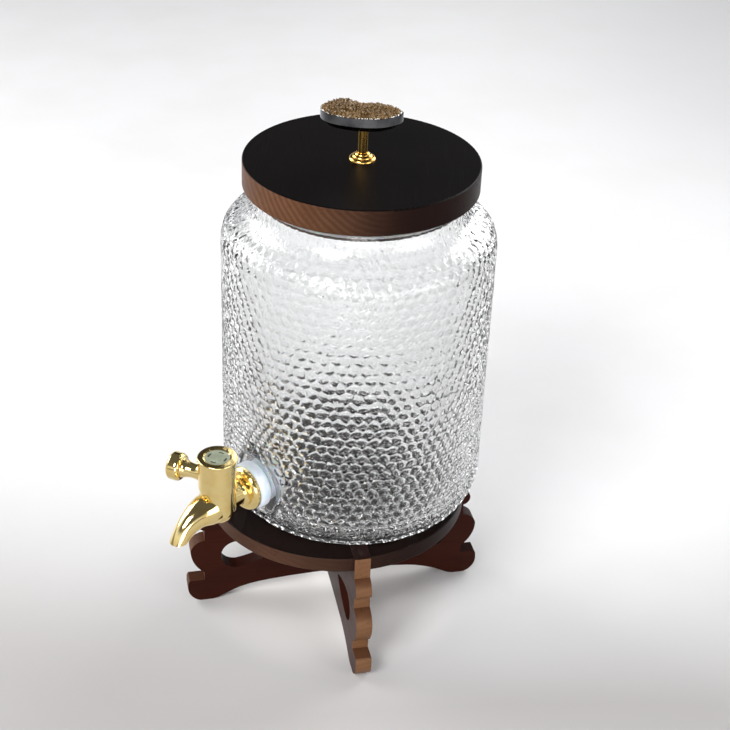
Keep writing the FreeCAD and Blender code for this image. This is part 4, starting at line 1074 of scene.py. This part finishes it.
@dataclass
class Lid(Part):
    """Wooden lid with its locating disc and seal."""

    body: str = "lid"
    to_heart: Place = (0.9768, -0.2110, 0.0)
    heart_reach: float = 17.0 * MM
    heart_height: float = 347.0 * MM

    def make(self) -> None:
        """Dress the lid."""
        right = Vector(self.to_heart).normalized() * self.heart_reach
        heart = (JAR_AXIS[0] + right.x, JAR_AXIS[1] + right.y, self.heart_height)
        self.dress(StainedWood("stained_lid", heart=heart, grain_turn=-math.radians(13.0),
                               face_dark=(0.0036, 0.0028, 0.0028), face_light=(0.0062, 0.0045, 0.0042),
                               edge_dark=(0.070, 0.028, 0.014), edge_light=(0.175, 0.086, 0.046),
                               # Painted shade darkens the lid's cut edges towards the right.
                               edge_shade_full=0.046, edge_shade_none=-0.036, gloss=0.30, shine=0.045), "lid_board")
        self.dress(StainedWood("stained_plug", heart=heart), "lid_plug")
        self.dress(MouldedRubber("clear_silicone", (0.74, 0.75, 0.75), (0.66, 0.67, 0.67)), "lid_seal")
        self.dress(BRIGHT_STEEL, "lid_washer", "knob_bolt")


@dataclass
class Knob(Part):
    """Slice of druzy quartz in a plated band, on a gold stem."""

    body: str = "lid"
    stem: Point = JAR_AXIS
    underside: float = 340.7 * MM
    turn: float = math.radians(-13.0)
    offset: float = -1.4 * MM
    half_width: float = 23.0 * MM
    half_depth: float = 14.3 * MM
    bevel: float = 3.2 * MM
    bevel_share: float = 0.84
    thick: float = 8.3 * MM
    crust: float = 1.9 * MM
    crystal: float = 0.62 * MM
    crystals: int = 620
    rim_crystals: int = 150
    foot_crystals: int = 110
    foot_height: float = 0.4 * MM
    rim_size: float = 0.55
    outline: Tuple[Point, ...] = (
        (1.00, -0.14), (0.83, 0.20), (0.47, 0.57), (-0.02, 0.43), (-0.43, 0.97), (-0.82, 0.60),
        (-1.00, 0.05), (-0.90, -0.46), (-0.55, -0.84), (-0.05, -1.03), (0.42, -1.00), (0.83, -0.66))
    top_rings: Tuple[float, ...] = (0.93, 0.84, 0.72, 0.58, 0.43, 0.28, 0.13)
    steps: int = 8
    seed: int = 4

    @property
    def middle(self) -> Vector:
        """Give the middle of the stone's underside."""
        along = Vector((math.cos(self.turn), math.sin(self.turn), 0.0))
        return Vector((*self.stem, self.underside)) + along * self.offset

    def edge_point(self, share: float, along: float) -> Vector:
        """Give a point on the stone's outline, in the row frame, at the underside's height.

        Args:
            share: 1 on the outline, 0 at its middle.
            along: From 0 to the number of corners, once round.

        Returns:
            The point.
        """
        count = len(self.outline)
        first, part = int(along) % count, along - int(along)
        before, start, end, after = (np.array(self.outline[(first + i) % count]) for i in (-1, 0, 1, 2))
        square = 2 * before - 5 * start + 4 * end - after
        cube = 3 * start - before - 3 * end + after
        bend = square * part ** 2 + cube * part ** 3
        across, deep = (start + 0.5 * ((end - before) * part + bend)) * share
        flat = Vector((across * self.half_width, deep * self.half_depth, 0.0))
        return self.middle + Matrix.Rotation(self.turn, 3, "Z") @ flat

    def edge_line(self, share: float) -> List[Vector]:
        """Give the whole outline at this share."""
        return [self.edge_point(share, i / self.steps) for i in range(len(self.outline) * self.steps)]

    def crust_height(self, share: float, place: Vector) -> float:
        """Give the druzy crust's height above the slice's edge."""
        lump = noise.noise(place * 160.0) * 0.45 + noise.noise(place * 420.0) * 0.25
        return self.crust * (1.0 - share ** 3.0) * (0.72 + lump)

    def make_slice(self) -> Piece:
        """Build the slice in rings up from its underside, and roughen its top.

        Returns:
            The slice.
        """
        piece = Bench.ring("druzy_stone", self.edge_line(self.bevel_share), filled=True)
        Bench.edit()
        rings = [(1.0, self.bevel), (1.0, self.thick - self.bevel)] + [(ring, 0.0) for ring in self.top_rings]
        share = self.bevel_share
        for ring, rise in rings:
            bpy.ops.mesh.extrude_region_move(TRANSFORM_OT_translate={"value": (0.0, 0.0, rise)})
            bpy.ops.transform.resize(value=(ring / share, ring / share, 1.0),
                                     center_override=tuple(self.middle))
            share = ring
        Bench.close_up()
        places = Bench.points(piece)
        top = self.middle.z + self.thick
        for place in places:
            if place[2] > top - 1e-6:
                place[2] += self.crust_height(self.share_of(Vector(place)), Vector(place))
        Bench.move(piece, places)
        Bench.mark(piece, "tip", np.zeros(len(places)))
        below_bevel = places[:, 2] < self.underside + self.bevel + 0.1 * MM
        Bench.mark(piece, "rim", np.where(below_bevel, 1.0, 0.0))
        return piece

    def share_of(self, place: Vector) -> float:
        """Give how far out a point is, 1 on the outline."""
        flat = Vector((place.x - self.middle.x, place.y - self.middle.y))
        if flat.length < 1e-6:
            return 0.0
        rays = [corner - self.middle for corner in self.edge_line(1.0)]
        ray = max(rays, key=lambda r: (r.x * flat.x + r.y * flat.y) / (math.hypot(r.x, r.y) * flat.length))
        return min(flat.length / math.hypot(ray.x, ray.y), 1.0)

    def make_crystal(self) -> Piece:
        """Build one six-sided crystal with a pointed end, a unit across and upright.

        Returns:
            The crystal.
        """
        Bench.clear()
        bpy.ops.mesh.primitive_cone_add(vertices=6, radius1=0.85, radius2=1.0, depth=1.6,
                                        location=(0.0, 0.0, 0.0))
        crystal = bpy.context.object
        Bench.pick(crystal, Element.FACE, np.array([face.normal.z > 0.9 for face in crystal.data.polygons]))
        bpy.ops.mesh.poke(offset=1.1)
        Bench.done()
        Bench.mark(crystal, "tip", np.clip(Bench.points(crystal)[:, 2] - 0.6, 0.0, 1.0))
        return crystal

    def grow(self, stone: Piece) -> None:
        """Set crystals all over the slice's top, along its rim and round its foot.

        Args:
            stone: The slice, which they join.
        """
        dice = np.random.default_rng(self.seed)
        seed = self.make_crystal()
        grown = [stone]
        for number in range(self.crystals + self.rim_crystals + self.foot_crystals):
            rim = number >= self.crystals
            low = number >= self.crystals + self.rim_crystals
            share = dice.uniform(0.985, 1.02) if rim else math.sqrt(dice.uniform(0.0, 0.97))
            ring = share * (self.bevel_share if low else 1.0)
            foot = self.edge_point(ring, dice.uniform(0.0, len(self.outline)))
            if low:
                foot.z += self.foot_height
            else:
                foot.z += self.thick + (0.0 if rim else self.crust_height(share, foot))
            size = self.crystal * dice.uniform(0.55, 1.35) * (self.rim_size if rim else 1.0)
            lean = dice.normal(0.0, 0.42, 2)
            turn = Matrix.Rotation(dice.uniform(0, math.pi), 4, "Z")
            lean_turn = Matrix.Rotation(lean[0], 4, "X") @ Matrix.Rotation(lean[1], 4, "Y")
            copy = bpy.data.objects.new("crystal", seed.data.copy())
            copy.data.transform(Matrix.Translation(foot) @ lean_turn @ turn @ Matrix.Scale(size, 4))
            Bench.mark(copy, "rim", np.full(len(copy.data.vertices), float(rim)))
            bpy.context.scene.collection.objects.link(copy)
            grown.append(copy)
        bpy.data.objects.remove(seed)
        Bench.clear()
        for piece in grown:
            piece.select_set(True)
        bpy.context.view_layer.objects.active = stone
        bpy.ops.object.join()

    def make(self) -> None:
        """Dress the stem and band, and grow the stone."""
        # Painted shade: the stem's gold is darker and deeper than the tap's, for the darker reflections on
        # it.
        self.dress(PolishedMetal("antique_gold", (0.76, 0.47, 0.13), (0.62, 0.35, 0.08), roughness=0.10,
                                 wear=0.10), "knob_base", "knob_stem")
        # Painted shade: the band's plating takes a dark base colour for the dark reflections it shows.
        self.dress(PolishedMetal("silver_plating", (0.13, 0.133, 0.138), (0.03, 0.032, 0.038),
                                 roughness=0.08, wear=0.12, patches=60.0), "knob_band")
        stone = self.make_slice()
        self.grow(stone)
        Bench.smooth(stone, 25.0)
        self.hand_over(stone, Crystals("druzy_quartz"), "quartz", "knob_stone")


@dataclass(frozen=True)
class SoftLight:
    """A square soft light: its name, where it hangs, its side and its power in watts."""

    name: str
    place: Place
    size: float
    power: float

    def hang(self, target: Place) -> None:
        """Add the light, looking at the target."""
        lamp = bpy.data.lights.new(self.name, "AREA")
        lamp.shape = "SQUARE"
        lamp.size = self.size
        lamp.energy = self.power
        holder = bpy.data.objects.new(self.name, lamp)
        bpy.context.scene.collection.objects.link(holder)
        holder.location = self.place
        aim = Vector(target) - Vector(self.place)
        holder.rotation_euler = aim.to_track_quat("-Z", "Y").to_euler()
        LOG.info("%s: %.1f W", self.name, self.power)


@dataclass
class Studio:
    """White sweep, soft lights and the camera."""

    floor_radius: float = 1.7
    floor_drop: float = 0.2 * MM
    wall_height: float = 0.30
    wall_reach: float = 0.5
    wall_steps: int = 8
    eye: Place = (-0.17883, -0.81643, 0.68736)
    ahead: Place = (0.19852, 0.82937, -0.52224)
    above: Place = (0.08021, 0.51730, 0.85203)
    lens: float = 76.43
    level_ahead: Place = (0.233, 0.972, 0.0)
    level_right: Place = (0.972, -0.233, 0.0)
    room: Colour = (0.92, 0.93, 0.95)
    room_right: Colour = (0.72, 0.73, 0.75)
    room_above: Colour = (0.12, 0.12, 0.12)
    curtain: Colour = (0.02, 0.02, 0.02)
    target: Place = (0.0, 0.0, 0.18)
    lights: Tuple[SoftLight, ...] = (
        SoftLight("key_left", (-0.95, -1.05, 1.25), 0.70, 22.0),
        SoftLight("fill_right", (0.95, -1.05, 0.45), 0.8, 8.0),
        SoftLight("fill_low", (-0.22, -1.30, 0.14), 0.6, 6.5),
        SoftLight("back_left", (-1.1, 0.8, 0.85), 1.0, 15.5),
        SoftLight("back_right", (1.15, 0.75, 0.85), 1.0, 16.0))

    def make_sweep(self) -> None:
        """Make a round floor that curves up into a low wall."""
        Bench.clear()
        bpy.ops.mesh.primitive_circle_add(vertices=96, radius=self.floor_radius, fill_type="NGON",
                                          location=(0.0, 0.0, -self.floor_drop))
        sweep = bpy.context.object
        sweep.name = "studio_sweep"
        bpy.ops.object.transform_apply(location=True, rotation=True, scale=True)
        Bench.edit_none(Element.EDGE)
        bpy.ops.mesh.select_non_manifold()
        radius, height = self.floor_radius, 0.0
        for step in range(1, self.wall_steps + 1):
            angle = math.pi / 2 * step / self.wall_steps
            out = self.floor_radius + self.wall_reach * math.sin(angle)
            up = self.wall_height * (1 - math.cos(angle))
            bpy.ops.mesh.extrude_edges_move(TRANSFORM_OT_translate={"value": (0.0, 0.0, up - height)})
            bpy.ops.transform.resize(value=(out / radius, out / radius, 1.0), center_override=(0.0, 0.0, 0.0))
            radius, height = out, up
        bpy.ops.mesh.select_mode(type="VERT")
        bpy.ops.mesh.select_all(action="SELECT")
        bpy.ops.mesh.normals_make_consistent(inside=True)
        Bench.done()
        Bench.smooth(sweep, 60.0)
        sweep.data.materials.append(PaintedFloor("painted_floor").material())

    def make_room(self) -> None:
        """Make the room beyond the sweep: pale all round, dark overhead, with a dark curtain behind."""
        world = bpy.data.worlds.new("studio_room")
        bpy.context.scene.world = world
        recipe = Recipe(world)
        way = recipe.node("ShaderNodeTexCoord", {}, {}, "Generated")
        back = way.dot(self.level_ahead)
        up = way.part(2)
        walls = recipe.mix(way.dot(self.level_right).step(0.1, 0.8), self.room, self.room_right)
        hung = recipe.mix(back.step(0.40, 0.66) * up.step(0.15, 0.27), walls, self.curtain)
        gloom = (back.step(0.05, -0.5) * up.step(0.22, 0.42) + up.step(0.45, 0.75)).clamp()
        glow = recipe.mix(gloom, hung, self.room_above)
        recipe.finish(recipe.node("ShaderNodeBackground", {}, {0: glow, 1: 1.0}), "ShaderNodeOutputWorld")

    def make_camera(self) -> None:
        """Set up the camera."""
        camera = bpy.data.objects.new("camera", bpy.data.cameras.new("camera"))
        bpy.context.scene.collection.objects.link(camera)
        back = -Vector(self.ahead).normalized()
        up = Vector(self.above).normalized()
        side = up.cross(back)
        camera.matrix_world = Matrix.Translation(self.eye) @ Matrix((side, up, back)).transposed().to_4x4()
        camera.data.lens = self.lens
        camera.data.sensor_width = 36.0
        camera.data.clip_start = 0.01
        bpy.context.scene.camera = camera

    def make(self) -> None:
        """Set the stage."""
        self.make_sweep()
        self.make_room()
        for light in self.lights:
            light.hang(self.target)
        self.make_camera()
        bpy.context.scene.view_settings.view_transform = "Standard"


def main() -> None:
    """Build every part in order."""
    logging.basicConfig(level=logging.INFO, format="%(message)s")
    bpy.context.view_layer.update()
    Studio().make()
    for part in (Stand(), Jar(), Tap(), Lid(), Knob()):
        part.make()


if __name__ == "__main__":
    main()
